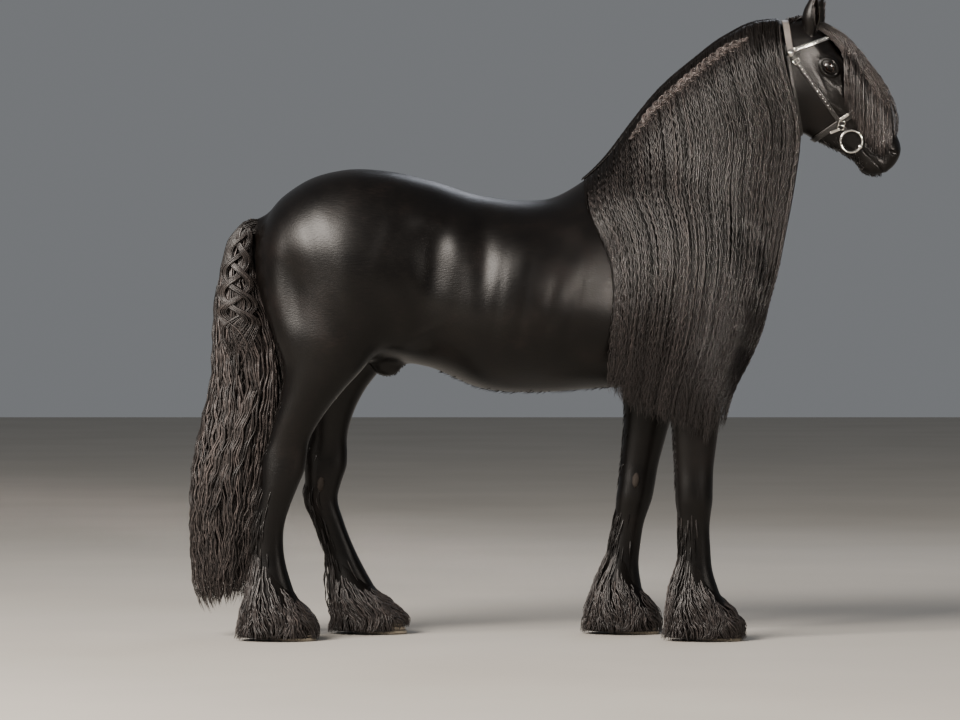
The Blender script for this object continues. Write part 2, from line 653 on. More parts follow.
def turned_outward(made: Piece, ends: Sequence[Array] = ()) -> None:
    """Close a mesh's ends with flat faces and turn every face outwards."""
    shape = bmesh.new()
    shape.from_mesh(made.data)
    shape.verts.ensure_lookup_table()
    for end in ends:
        shape.faces.new([shape.verts[i] for i in end])
    bmesh.ops.recalc_face_normals(shape, faces=shape.faces)
    shape.to_mesh(made.data)
    shape.free()
    made.data.shade_smooth()


def swept(name: str, path: Array, outward: Array, widths: object, depths: object, section: Rows,
          ring: bool = False) -> Piece:
    """A closed bar that follows a path.

    Args:
        name: The object's name.
        path: Points along its middle.
        outward: The way its section's second axis looks at each point.
        widths: Its width, at each point or everywhere.
        depths: Its depth.
        section: (across, outward) in shares of the width and depth.
        ring: Whether the path closes on itself.

    Returns:
        The new object, with "along" in metres and "across" in shares stored for its finish.
    """
    path = np.asarray(path, float)
    tangent = unit(np.roll(path, -1, 0) - np.roll(path, 1,
                                                  0)) if ring else unit(np.gradient(path, axis=0))
    across = unit(np.cross(tangent, outward))
    outward = unit(np.cross(across, tangent))
    across_share, out_share = np.array(section, float).T
    widths, depths = (np.broadcast_to(values, len(path)) for values in (widths, depths))
    points = (path[:, None] + across[:, None] * (widths[:, None] * across_share)[..., None]
              + outward[:, None] * (depths[:, None] * out_share)[..., None])
    count, sides = points.shape[:2]
    number, quads = ring_faces(count, sides, ring)
    made = new_mesh(name, points.reshape(-1, 3), quads)
    turned_outward(made, () if ring else (number[0], number[-1]))
    give_values(made, "along", np.repeat(lengths_along(path), sides))
    give_values(made, "across", np.tile(across_share, count))
    return made


def oval(sides: int) -> list[tuple[float, float]]:
    """A round section of width and depth one."""
    return [(0.5 * math.cos(a), 0.5 * math.sin(a)) for a in full_turn(sides)]


def in_one(name: str, pieces: Sequence[Piece]) -> Piece:
    """Join pieces into the first, which keeps this name."""
    for piece in bpy.context.selected_objects:
        piece.select_set(False)
    for piece in pieces:
        piece.select_set(True)
    bpy.context.view_layer.objects.active = pieces[0]
    bpy.ops.object.join()
    pieces[0].name = name
    return pieces[0]


def linear(colour: str) -> tuple[float, float, float, float]:
    """An sRGB hex colour as the linear values that the shader takes.

    Args:
        colour: The colour as "#rrggbb".

    Returns:
        Red, green, blue and alpha from 0 to 1.
    """
    parts = [int(colour[i:i + 2], 16) / 255 for i in (1, 3, 5)]
    values = [c / 12.92 if c <= 0.04045 else ((c + 0.055) / 1.055) ** 2.4 for c in parts]
    return (*values, 1.0)


def add_node(tree: Tree, kind: str, inputs: Optional[dict] = None, settings: Optional[dict] = None,
             stops: Stops = (),
             feeds: Optional[Socket] = None, output: object = 0) -> Socket:
    """Add one shader node.

    Args:
        tree: The material's node tree.
        kind: The node's type, after "ShaderNode".
        inputs: The sockets or plain values of its inputs, by the input's name or number.
        settings: Its properties by name.
        stops: A colour ramp's stops, each a place with a hex colour or a grey level.
        feeds: The input that its output goes to.
        output: The name or number of its output.

    Returns:
        The new node's output.
    """
    node = tree.nodes.new("ShaderNode" + kind)
    for key, value in (settings or {}).items():
        setattr(node, key, value)
    for key, value in (inputs or {}).items():
        if isinstance(value, Socket):
            tree.links.new(value, node.inputs[key])
        else:
            node.inputs[key].default_value = value
    if stops:
        elements = node.color_ramp.elements
        while len(elements) < len(stops):
            elements.new(0.5)
        for element, (place, value) in zip(elements, stops):
            element.position = place
            element.color = linear(value) if isinstance(value, str) else (value, value, value, 1.0)
    if feeds:
        tree.links.new(node.outputs[output], feeds)
    return node.outputs[output]


@dataclass(frozen=True)
class Finish:
    """A finish's name and the numbers that hold all over its surface."""

    name: str
    colour: str
    roughness: float = 0.5
    metallic: float = 0.0
    ior: float = 1.5
    coat: float = 0.0
    coat_roughness: float = 0.1
    specular: float = 0.5

    def make(self) -> bpy.types.Material:
        """Make the material, once.

        Returns:
            The new material, or the one that was made before.
        """
        found = bpy.data.materials.get(self.name)
        if found:
            return found
        material = bpy.data.materials.new(self.name)
        material.use_nodes = True
        shader = material.node_tree.nodes["Principled BSDF"]
        values = {"Base Color": linear(self.colour), "Roughness": self.roughness,
                  "Metallic": self.metallic,
                  "IOR": self.ior, "Coat Weight": self.coat, "Coat Roughness": self.coat_roughness,
                  "Specular IOR Level": self.specular}
        for key, value in values.items():
            shader.inputs[key].default_value = value
        self.detail(material.node_tree, shader.inputs)
        return material

    def detail(self, tree: Tree, shader: Sockets) -> None:
        """Add the finish's own pattern and bump to its node tree, through the shader's inputs."""

    def dress(self, made: Piece, slot: str) -> Piece:
        """Give an object this finish.

        Args:
            made: The object.
            slot: The record's slot that it belongs to.

        Returns:
            The same object.
        """
        made.data.materials.clear()
        made.data.materials.append(self.make())
        return made


class ShortCoat(Finish):
    """A black horse's summer coat: fine hairs lying flat, with a satin gloss and a taupe bloom."""

    def detail(self, tree: Tree, shader: Sockets) -> None:
        """Streaks of lying hair, a mottled gloss and a browner bloom where the sun bleaches it.

        Args:
            tree: The material's node tree.
            shader: Its shader's inputs.
        """
        place = add_node(tree, "TexCoord", output="Object")
        # Hairs 12 mm long and 0.1 mm wide are drawn as 40 mm streaks 3 mm wide, so that they show
        lie = add_node(tree, "Mapping", {"Vector": place, "Rotation": (0.0, math.radians(28), 0.0),
                                         "Scale": (25.0, 330.0, 210.0)})
        hairs = add_node(tree, "TexNoise", {"Vector": lie, "Scale": 1.0, "Detail": 3.0,
                                            "Roughness": 0.6})
        cloud = add_node(tree, "TexNoise", {"Vector": place, "Scale": 5.5, "Detail": 4.0,
                                            "Roughness": 0.6})
        mottled = add_node(tree, "Math", {0: hairs, 1: 0.45, 2: cloud},
                           {"operation": "MULTIPLY_ADD"})
        add_node(tree, "ValToRGB", {"Fac": mottled}, stops=((0.45, "#040303"), (0.78, "#080605"),
                                                            (1.0, "#120d0b")),
                 feeds=shader["Base Color"])
        add_node(tree, "ValToRGB", {"Fac": mottled}, stops=((0.4, 0.28), (1.0, 0.40)),
                 feeds=shader["Roughness"])
        add_node(tree, "Bump", {"Height": hairs, "Strength": 0.30, "Distance": 0.0016},
                 feeds=shader["Normal"])


class LongHair(Finish):
    """Horse hair, braided wet: dark strands that catch the light on each crimp."""

    def detail(self, tree: Tree, shader: Sockets) -> None:
        """A tone for each lock, glints where its crimps turn to the light, and strand lines.

        Args:
            tree: The material's node tree.
            shader: Its shader's inputs.
        """
        tone = add_node(tree, "Attribute", settings={"attribute_name": "tone"}, output="Fac")
        place = add_node(tree, "TexCoord", output="Object")
        # Glints 20 mm long on strands 3 mm wide, as the crimped hair shows them
        streak = add_node(tree, "Mapping", {"Vector": place, "Scale": (260.0, 260.0, 46.0)})
        glints = add_node(tree, "TexNoise", {"Vector": streak, "Scale": 1.0, "Detail": 2.0,
                                             "Roughness": 0.6})
        both = add_node(tree, "Math", {0: glints, 1: 0.9, 2: tone}, {"operation": "MULTIPLY_ADD"})
        shade = add_node(tree, "Math", {0: both, 1: 0.6}, {"operation": "MULTIPLY"})
        add_node(tree, "ValToRGB", {"Fac": shade}, feeds=shader["Base Color"],
                 stops=((0.34, "#0a0807"), (0.50, self.colour), (0.66, "#36302e"),
                        (0.80, "#5e5552")))
        # The flat, greased hair over the crest shines less than the crimped locks
        add_node(tree, "ValToRGB", {"Fac": tone}, stops=((0.05, 0.10), (0.30, 0.50)),
                 feeds=shader["Specular IOR Level"])
        # Single hairs 0.2 mm thick are drawn 2 mm apart
        lie = add_node(tree, "Mapping", {"Vector": place, "Scale": (500.0, 500.0, 34.0)})
        strands = add_node(tree, "TexNoise", {"Vector": lie, "Scale": 1.0, "Detail": 2.0})
        add_node(tree, "Bump", {"Height": strands, "Strength": 0.45, "Distance": 0.0012},
                 feeds=shader["Normal"])


STITCH = 0.006


class Leather(Finish):
    """Bridle leather, vegetable tanned and oiled: a fine grain with worn, shinier edges."""

    def detail(self, tree: Tree, shader: Sockets) -> None:
        """Pores 0.6 mm apart, drawn 2 mm apart, and a stitch every 6 mm near both edges.

        Args:
            tree: The material's node tree.
            shader: Its shader's inputs.
        """
        place = add_node(tree, "TexCoord", output="Object")
        grain = add_node(tree, "TexVoronoi", {"Vector": place, "Scale": 500.0})
        along = add_node(tree, "Attribute", settings={"attribute_name": "along"}, output="Fac")
        across = add_node(tree, "Attribute", settings={"attribute_name": "across"}, output="Fac")
        edge = add_node(tree, "Math", {0: across}, {"operation": "ABSOLUTE"})
        seam = add_node(tree, "ValToRGB", {"Fac": edge},
                        stops=((0.30, 0.0), (0.35, 1.0), (0.40, 0.0)))
        turn = add_node(tree, "Math", {0: along, 1: TURN / STITCH}, {"operation": "MULTIPLY"})
        wave = add_node(tree, "Math", {0: turn}, {"operation": "SINE"})
        stitches = add_node(tree, "Math", {0: seam, 1: wave}, {"operation": "MULTIPLY"})
        height = add_node(tree, "Math", {0: grain, 1: 0.5, 2: stitches},
                          {"operation": "MULTIPLY_ADD"})
        add_node(tree, "ValToRGB", {"Fac": edge}, stops=((0.38, self.colour), (0.5, "#4a4744")),
                 feeds=shader["Base Color"])
        add_node(tree, "Bump", {"Height": height, "Strength": 0.35, "Distance": 0.0008},
                 feeds=shader["Normal"])


class Chrome(Finish):
    """Nickel-plated brass, polished: bright, with fine scratches that soften its highlights."""

    def detail(self, tree: Tree, shader: Sockets) -> None:
        """Scratches 0.1 mm wide, drawn 1 mm wide.

        Args:
            tree: The material's node tree.
            shader: Its shader's inputs.
        """
        place = add_node(tree, "TexCoord", output="Object")
        wear = add_node(tree, "TexNoise", {"Vector": place, "Scale": 900.0, "Detail": 2.0})
        add_node(tree, "ValToRGB", {"Fac": wear}, stops=((0.3, 0.14), (0.7, 0.30)),
                 feeds=shader["Roughness"])
        add_node(tree, "Bump", {"Height": wear, "Strength": 0.08, "Distance": 0.0004},
                 feeds=shader["Normal"])


class Horn(Finish):
    """Hoof horn, rasped and oiled: growth rings round the wall, with dust in them."""

    def detail(self, tree: Tree, shader: Sockets) -> None:
        """Growth rings 7 mm apart, drawn 14 mm apart, and fine tubules down the wall.

        Args:
            tree: The material's node tree.
            shader: Its shader's inputs.
        """
        place = add_node(tree, "TexCoord", output="Object")
        rings = add_node(tree, "TexWave", {"Vector": place, "Scale": 22.0, "Distortion": 2.0,
                                           "Detail": 2.0},
                         {"bands_direction": "Z"}, output="Fac")
        lie = add_node(tree, "Mapping", {"Vector": place, "Scale": (420.0, 420.0, 30.0)})
        tubules = add_node(tree, "TexNoise", {"Vector": lie, "Scale": 1.0, "Detail": 3.0})
        both = add_node(tree, "Math", {0: rings, 1: tubules}, {"operation": "ADD"})
        add_node(tree, "ValToRGB", {"Fac": both}, stops=((0.5, "#5c5347"), (0.9, self.colour),
                                                         (1.0, "#b0a592")),
                 feeds=shader["Base Color"])
        add_node(tree, "Bump", {"Height": both, "Strength": 0.35, "Distance": 0.0010},
                 feeds=shader["Normal"])


class Eyeball(Finish):
    """A horse's eye: a wet clear cornea over a dark brown iris with a flat oval pupil."""

    def detail(self, tree: Tree, shader: Sockets) -> None:
        """Pupil, brown iris and dark rim, by the angle from the way it looks."""
        gaze = add_node(tree, "Attribute", settings={"attribute_name": "gaze"}, output="Fac")
        add_node(tree, "ValToRGB", {"Fac": gaze}, feeds=shader["Base Color"],
                 stops=((0.0, "#050303"), (0.22, "#070404"), (0.27, "#150a06"), (0.55, "#1c0e08"),
                        (0.66, "#120907"),
                        (0.72, "#2a211d"), (1.0, "#3a2f29")))


class PaleFloor(Finish):
    """A plain pale studio floor of fine plaster: even, with hardly any gloss."""

    def detail(self, tree: Tree, shader: Sockets) -> None:
        """A faint unevenness of tone.

        Args:
            tree: The material's node tree.
            shader: Its shader's inputs.
        """
        place = add_node(tree, "TexCoord", output="Object")
        tone = add_node(tree, "TexNoise", {"Vector": place, "Scale": 0.8, "Detail": 3.0})
        add_node(tree, "ValToRGB", {"Fac": tone}, stops=((0.3, "#aaa69f"), (0.7, "#b1ada6")),
                 feeds=shader["Base Color"])


COAT = ShortCoat("summer_coat_black", "#080605", roughness=0.35, specular=0.24)
HAIR = LongHair("horse_hair_dark", "#1b1716", roughness=0.40, specular=0.5)
LEATHER = Leather("bridle_leather_black", "#161413", roughness=0.42, coat=0.15, coat_roughness=0.3)
PALE_LEATHER = Leather("bridle_leather_grey", "#5d5753", roughness=0.48, coat=0.15,
                       coat_roughness=0.3)
SILVER = Chrome("nickel_plate_polished", "#d5d2cc", roughness=0.2, metallic=1.0)
HORN = Horn("hoof_horn_oiled", "#8a8071", roughness=0.5)
CHESTNUT = Finish("chestnut_horn_dark", "#2a2521", roughness=0.75, specular=0.2)
EYE = Eyeball("horse_eye_wet", "#2a1510", roughness=0.12, ior=1.38, coat=1.0, coat_roughness=0.02)
FLOOR = PaleFloor("floor_plaster_pale", "#aeaaa3", roughness=0.85, specular=0.2)


@dataclass
class Skin:
    """The one skin over the whole horse, finest on the head."""

    cell: float = 0.0112
    low: tuple[float, float, float] = (-1.08, -0.37, 0.035)
    high: tuple[float, float, float] = (1.26, 0.37, 2.24)
    nodes: tuple[str, ...] = ("torso", "neck", "head", "forearm_right", "forearm_left",
                              "foreleg_right", "foreleg_left",
                              "gaskin_right", "gaskin_left", "hindleg_right", "hindleg_left")

    def build(self) -> Piece:
        """Mesh the flesh, refine the head and settle every vertex on the skin's field."""
        points, quads = net_of(sampled(body_field, self.low, self.high, self.cell), self.low,
                               self.cell)
        made = new_mesh("skin", settled(body_field, points, self.cell), quads)
        self.refine(made, lambda p: self.on_face(p, 0.0, 0.57))
        self.refine(made, lambda p: self.on_face(p, 0.40, 0.57) | self.near_eye(p))
        count = len(made.data.vertices)
        places = np.zeros(count * 3, np.float32)
        made.data.vertices.foreach_get("co", places)
        places = settled(skin_field, places.reshape(-1, 3).astype(float), 0.012, 3)
        made.data.vertices.foreach_set("co", places.astype(np.float32).ravel())
        made.data.update()
        made.data.shade_smooth()
        COAT.dress(made, "coat")
        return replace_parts(made, *self.nodes)

    def on_face(self, points: Array, start: float, end: float) -> Array:
        """Which points lie on the head between two places along it."""
        along, _ = in_frame(points, POLL, HEAD_PITCH)
        return (along > start) & (along < end) & (points[:, 0] > 0.86) & (np.abs(points[:, 1]) < 0.16)

    def near_eye(self, points: Array) -> Array:
        """Which points lie round either eye."""
        centre = on_head(np.array(0.147), np.array(0.075), np.array(0.023))
        mirrored = np.stack([points[:, 0], np.abs(points[:, 1]), points[:, 2]], -1)
        return np.linalg.norm(mirrored - centre, axis=1) < 0.055

    def refine(self, made: Piece, wanted: Callable[[Array], Array]) -> None:
        """Split the faces whose middles are wanted, with clean borders."""
        shape = bmesh.new()
        shape.from_mesh(made.data)
        middles = np.array([face.calc_center_median() for face in shape.faces])
        chosen = wanted(middles)
        edges = {edge for face, keep in zip(shape.faces, chosen) if keep for edge in face.edges}
        bmesh.ops.subdivide_edges(shape, edges=list(edges), cuts=1, use_grid_fill=True)
        bmesh.ops.triangulate(shape, faces=[face for face in shape.faces if len(face.verts) > 4])
        shape.to_mesh(made.data)
        shape.free()


def closed_rings(name: str, rings: Array, loop: bool = False) -> Piece:
    """A closed solid through rings of the same number of points, with flat ends.

    Args:
        name: The object's name.
        rings: (rings, sides, 3).
        loop: Whether the last ring meets the first, so that there are no ends.

    Returns:
        The new object.
    """
    rings = np.asarray(rings, float)
    count, sides = rings.shape[:2]
    number, quads = ring_faces(count, sides, loop)
    points, fans = rings.reshape(-1, 3), []
    if not loop:
        for ring, middle in ((number[0], count * sides), (number[-1][::-1], count * sides + 1)):
            fans.append(np.stack([np.roll(ring, -1), ring, np.full(sides, middle)], -1))
        points = np.concatenate([points, rings[[0, -1]].mean(1)])
    made = new_mesh(name, points, quads, np.concatenate(fans) if fans else None)
    turned_outward(made)
    return made


def inner(name: str, rings: Array) -> Piece:
    """A dark solid under a piece's locks, with its rings unwrapped to the whole map.

    Args:
        name: The object's name.
        rings: (rings, sides, 3).

    Returns:
        The new object, dressed as hair.
    """
    made = closed_rings(name, rings)
    rows, sides = rings.shape[:2]
    give_values(made, "tone", np.zeros(len(made.data.vertices)))
    layer = made.data.uv_layers.new(name="OFBake")
    for face in made.data.polygons:
        turns = [vertex % sides / sides for vertex in face.vertices]
        seam = max(turns) - min(turns) > 0.5
        for loop, vertex, turn in zip(face.loop_indices, face.vertices, turns):
            row = 0.0 if vertex == rows * sides else min(vertex // sides, rows - 1) / rows
            layer.data[loop].uv = (0.02 + 0.9 * (turn + (seam and turn < 0.5)), 0.02 + 0.96 * row)
    return HAIR.dress(made, "hair")


LOCK_SECTION = np.array([(-0.5, 0.0), (0.5, 0.0), (0.0, 1.0)])
PATCH = 0.003


@dataclass
class Locks:
    """Many tapered locks of hair as closed three-sided bars in joined meshes.

    paths and outward are (locks, steps, 3), widths and depths (locks,), tones (locks,) from dark to
    pale, and roots (locks, 2) each lock's place on the unwrapped skin.
    """

    paths: Array
    outward: Array
    widths: Array
    depths: Array
    tones: Array
    roots: Array
    taper: float = 0.75
    root_share: float = 0.6

    def build(self, name: str, limit: int = 190000) -> list[Piece]:
        """Make the meshes, split so that each stays under a number of triangles."""
        steps = self.paths.shape[1]
        each = 6 * (steps - 2) + 3 + 1
        parts = int(math.ceil(len(self.paths) * each / limit))
        return [self.mesh(f"{name}_{part}" if parts > 1 else name, slice(part, None, parts))
                for part in range(parts)]

    def mesh(self, name: str, chosen: slice) -> Piece:
        """Make one mesh of the chosen locks, with its finish, map and tones."""
        path, outward = self.paths[chosen], self.outward[chosen]
        locks, steps = path.shape[:2]
        tangent = unit(np.gradient(path, axis=1))
        across = unit(np.cross(tangent, outward))
        outward = unit(np.cross(across, tangent))
        share = np.linspace(0, 1, steps)
        body = (self.root_share + (1 - self.root_share) * smooth(share / 0.2)) * (1 - self.taper
                                                                                  * smooth((share - 0.45) / 0.55))
        width = self.widths[chosen][:, None] * body
        depth = self.depths[chosen][:, None] * body
        rings = (path[:, :-1, None] + across[:, :-1, None]
                 * (width[:, :-1, None] * LOCK_SECTION[:, 0])[..., None]
                 + outward[:, :-1, None] * (depth[:, :-1, None] * LOCK_SECTION[:, 1])[..., None])
        points = np.concatenate([rings.reshape(locks, -1, 3), path[:, -1:]], 1)
        each = points.shape[1]
        base = (np.arange(locks) * each)[:, None, None]
        ring, quads = ring_faces(steps - 1, 3)
        quads = quads[None] + base
        tip = np.stack([ring[-1], np.roll(ring[-1], -1), np.full(3, each - 1)], -1)
        ends = np.concatenate([tip, ring[:1, ::-1]])[None] + base
        made = new_mesh(name, points.reshape(-1, 3), quads.reshape(-1, 4), ends.reshape(-1, 3))
        run = np.concatenate([np.repeat(share[:-1], 3), share[-1:]])
        side = np.concatenate([np.tile(LOCK_SECTION[:, 0] + 0.5, steps - 1), [0.5]])
        uv = self.roots[chosen][:, None] + PATCH * np.stack([side, run], -1)[None]
        layer = made.data.uv_layers.new(name="OFBake")
        corners = np.zeros(len(made.data.loops), np.int32)
        made.data.loops.foreach_get("vertex_index", corners)
        layer.data.foreach_set("uv", uv.reshape(-1, 2)[corners].astype(np.float32).ravel())
        give_values(made, "tone", np.clip(self.tones[chosen][:, None] + 0.10 * (run[None] - 0.5), 0,
                                          1))
        return HAIR.dress(made, "hair")


@dataclass(frozen=True)
class Strand:
    """The sizes of one kind of lock.

    count is how many there are and steps the points along each. width and depth are one size for
    all, or the least and the greatest. taper is what the tip loses and root the root's share.
    """

    count: int
    steps: int
    width: object
    depth: object
    taper: float
    root: float = 0.6

    def sizes(self, rng: Draws) -> tuple[Array, Array]:
        """The width and depth of each lock."""
        return tuple(rng.uniform(*size, self.count) if isinstance(size, tuple)
                     else np.full(self.count, size)
                     for size in (self.width, self.depth))

    def laid(self, rng: Draws, path: Array, outward: Array, tones: Array, roots: Array) -> Locks:
        """Locks of this kind along their paths.

        Args:
            rng: Draws the sizes.
            path: (locks, steps, 3).
            outward: The way away from the skin, the same shape.
            tones: Each lock's tone.
            roots: Each root's place on the unwrapped skin.

        Returns:
            The locks.
        """
        return Locks(path, outward, *self.sizes(rng), np.clip(tones, 0, 1), roots, self.taper,
                     self.root)

    @property
    def run(self) -> Array:
        """Shares of the way along a lock, (1, steps)."""
        return np.linspace(0, 1, self.steps)[None]


def unwrapped(points: Array, origin: Sequence[float], axis: Array,
              patch: tuple[float, float, float, float], reach: float) -> Array:
    """Places of points on a tube-like part's unwrap.

    Args:
        points: The points.
        origin: Where the part's axis starts.
        axis: Its direction.
        patch: Where the part lies on the map: left, bottom, width and height.
        reach: The axis's length.

    Returns:
        (u, v) of each point: v runs along the axis and u is the angle round it.
    """
    offset = points - np.array(origin)
    along = np.clip(offset @ axis / reach, 0, 1)
    side = np.array([0.0, 1.0, 0.0])
    turn = np.arctan2(offset @ side, offset @ np.cross(axis, side)) / TURN + 0.5
    left, bottom, width, height = patch
    return np.stack([left + turn * (width - PATCH), bottom + along * (height - PATCH)], -1)


def read_guides(guides: Array, layer: Array, place: Array, run: Array) -> Array:
    """Points between guide paths.

    Args:
        guides: (layers, places, steps, 3), evenly spaced along each path.
        layer: Each lock's layer from 0 to the last, (locks, 1) or (locks, steps).
        place: Its place from 0 to the last.
        run: Its place along the path from 0 to 1, (locks, steps).

    Returns:
        (locks, steps, 3).
    """
    layer, place, run = np.broadcast_arrays(layer, place, run * (guides.shape[2] - 1))
    total = 0.0
    whole, part = [], []
    for value, count in zip((layer, place, run), guides.shape):
        value = np.clip(value, 0, count - 1)
        base = np.minimum(value.astype(int), count - 2)
        whole.append(base)
        part.append(value - base)
    for a in (0, 1):
        for b in (0, 1):
            for c in (0, 1):
                weight = 1.0
                for bit, share in zip((a, b, c), part):
                    weight = weight * (share if bit else 1 - share)
                total = total + weight[..., None] * guides[whole[0] + a, whole[1] + b, whole[2] + c]
    return total


def evenly(paths: Array, steps: int) -> Array:
    """Paths with their points spaced evenly along them."""
    length = np.concatenate([np.zeros(paths.shape[:-2] + (1,)),
                             np.cumsum(np.linalg.norm(np.diff(paths, axis=-2), axis=-1), -1)], -1)
    flat, lengths = paths.reshape(-1, paths.shape[-2], 3), length.reshape(-1, paths.shape[-2])
    made = [np.stack([np.interp(np.linspace(0, run[-1], steps), run, path[:, n]) for n in range(3)],
                     -1)
            for path, run in zip(flat, lengths)]
    return np.array(made).reshape(paths.shape[:-2] + (steps, 3))


def crimped(path: Array, outward: Array, wave: Array, phase: Array, side: Array,
            out: Array) -> Array:
    """Paths with the waves that wet braids leave.

    Args:
        path: (locks, steps, 3).
        outward: The way away from the skin, the same shape.
        wave: Length of each lock's waves, (locks, 1).
        phase: Where each starts, (locks, 1).
        side: How far it sways sideways, (locks, steps).
        out: How far it sways outwards, (locks, steps).

    Returns:
        The waved paths.
    """
    tangent = unit(np.gradient(path, axis=1))
    across = unit(np.cross(tangent, outward))
    run = np.cumsum(np.linalg.norm(np.gradient(path, axis=1), axis=-1), 1)
    turn = TURN * run / wave + phase
    return path + across * (side * np.sin(turn))[..., None] + outward * (out * np.cos(turn * 1.07
                                                                                      + 1.3))[..., None]


def crest_height(x: Array, side: float, lift: float) -> Array:
    """Height of the neck's crest above these places, raised by lift."""
    start = np.stack([x, side + 0 * x, np.full_like(x, OVERHEAD)], -1)
    return OVERHEAD - skin_hit(start, (0, 0, -1), 1.2, lift)


@dataclass
class Mane:
    """The mane: crimped locks from the crest, a smooth band over their roots and the braid."""

    shares: Array = field(default_factory=lambda: np.linspace(-0.03, 1.09, 46))
    lifts: tuple[float, ...] = (0.004, 0.014, 0.026, 0.038, 0.047)
    guide_steps: int = 72
    braid_drop: float = 0.050
    braid_span: tuple[float, float] = (0.22, 0.87)
    braid_loop: float = 0.087
    loose: Strand = Strand(1320, 76, (0.0040, 0.0062), (0.0016, 0.0026), 0.8)
    inmost: Strand = Strand(116, 30, 0.017, 0.003, 0.85)
    crest: Strand = Strand(760, 12, (0.008, 0.012), (0.002, 0.003), 0.45, 0.8)
    rolled: Strand = Strand(420, 9, (0.009, 0.013), 0.0030, 0.35, 0.8)
    braided: Strand = Strand(24, 230, 0.0052, 0.0030, 0.5)
    guides: Array = field(init=False)
    outward: Array = field(init=False)

    def __post_init__(self) -> None:
        """Work out the guide paths."""
        self.guides = np.stack([evenly(self.guide_paths(lift), self.guide_steps)
                                for lift in self.lifts])
        over = np.clip(np.arange(self.guide_steps) / 6, 0, 1)[:, None]
        slope = unit(slope_of(body_field, self.guides[2]))
        self.outward = unit(slope * 0.6 - over * SIDEWAYS)[None]

    def guide_paths(self, lift: float) -> Array:
        """Paths from inside the crest over it and down the right side, at one lift."""
        shares = self.shares
        root_x = self.root_x(shares)
        root_z = crest_height(root_x, CREST_SIDE,
                              lift * (0.08 + 0.24 * smooth((shares + 0.05) / 0.2)))
        tips = curve_through(MANE_ENDS, np.clip(shares, 0, 1))[..., 0]
        over_crest = np.array([0.0, 0.009, 0.018, 0.045, 0.075])
        down = np.linspace(0, 1, 40)[1:]
        drop = np.concatenate([np.tile(over_crest, (len(shares), 1)),
                               over_crest[-1] + (root_z - tips - over_crest[-1])[:, None] * down],
                              1)
        z = root_z[:, None] - drop
        front = curve_through(MANE_FRONT, z)[..., 0]
        rear = curve_through(MANE_REAR, z)[..., 0]
        within = np.minimum(shares, 1.0)
        hang = rear + (front - rear) * within[:, None] + 0.04 * (shares - within)[:, None]
        x = root_x[:, None] + (hang - root_x[:, None]) * smooth(drop / 0.34)
        start = np.stack([x, np.full_like(x, -BESIDE), z], -1)
        full = (0.12 + 0.88 * smooth((shares + 0.03) / 0.20))[:, None]
        standing = (lift * (0.30 + 0.70 * smooth(drop / 0.14)) + 0.008 * smooth(drop / 0.6)) * full
        y = -BESIDE + skin_hit(start, (0, 1, 0), 0.58, standing, 40)
        y[:, 0] = CREST_SIDE + lift * 0.3
        for k in range(1, z.shape[1]):
            y[:, k] = np.fmin(y[:, k - 1] * 0.99, y[:, k])
        # The hair lies flat on the withers and hangs ever freer towards the poll
        slack = 0.8 + 3.2 * (1 - smooth((shares + 0.03) / 0.65))
        for k in range(z.shape[1] - 2, 0, -1):
            y[:, k] = np.minimum(y[:, k], y[:, k + 1] + slack * (z[:, k] - z[:, k + 1]))
        hanging = np.stack([x, y, z], -1)
        root = hanging[:, 0] + np.array([0.0, 0.004, -0.040 - lift])
        return np.concatenate([root[:, None], hanging], 1)

    def root_x(self, share: Array) -> Array:
        """How far forward the roots at these shares of the crest are."""
        return MANE_ROOTS[0] + (MANE_ROOTS[1] - MANE_ROOTS[0]) * share

    def place(self, share: Array) -> Array:
        """Shares of the crest as places among the guides."""
        return (share - self.shares[0]) / (self.shares[-1] - self.shares[0]) * (len(self.shares)
                                                                                - 1)

    def read(self, layer: Array, share: Array, run: Array) -> tuple[Array, Array]:
        """Paths and outward directions at these layers, shares of the crest and places along."""
        outward = np.concatenate([self.outward] * 2)
        return (read_guides(self.guides, layer, self.place(share), run),
                unit(read_guides(outward, 0 * layer, self.place(share), run)))

    def roots(self, share: Array) -> Array:
        """Places of roots on the map, along the crest."""
        x = self.root_x(share)
        points = np.stack([x, np.full_like(x, CREST_SIDE), 1.35 * x + 1.35], -1)
        return unwrapped(points, NECK_ROOT, direction(NECK_PITCH), (0.02, 0.52, 0.46, 0.46), 1.0)

    def braid_run(self, layer: float) -> Array:
        """Where along each guide of a layer the braid lies, below the crest by the braid's drop."""
        low, high = self.guides[int(layer)], self.guides[min(int(layer) + 1, 4)]
        path = low + (high - low) * (layer % 1)
        height = path[..., 2]
        found = []
        for line in height:
            first = line.argmax()
            falling = line[first] - line[first:]
            found.append((first + np.interp(self.braid_drop, falling, np.arange(len(falling))))
                         / (len(line) - 1))
        return np.array(found)

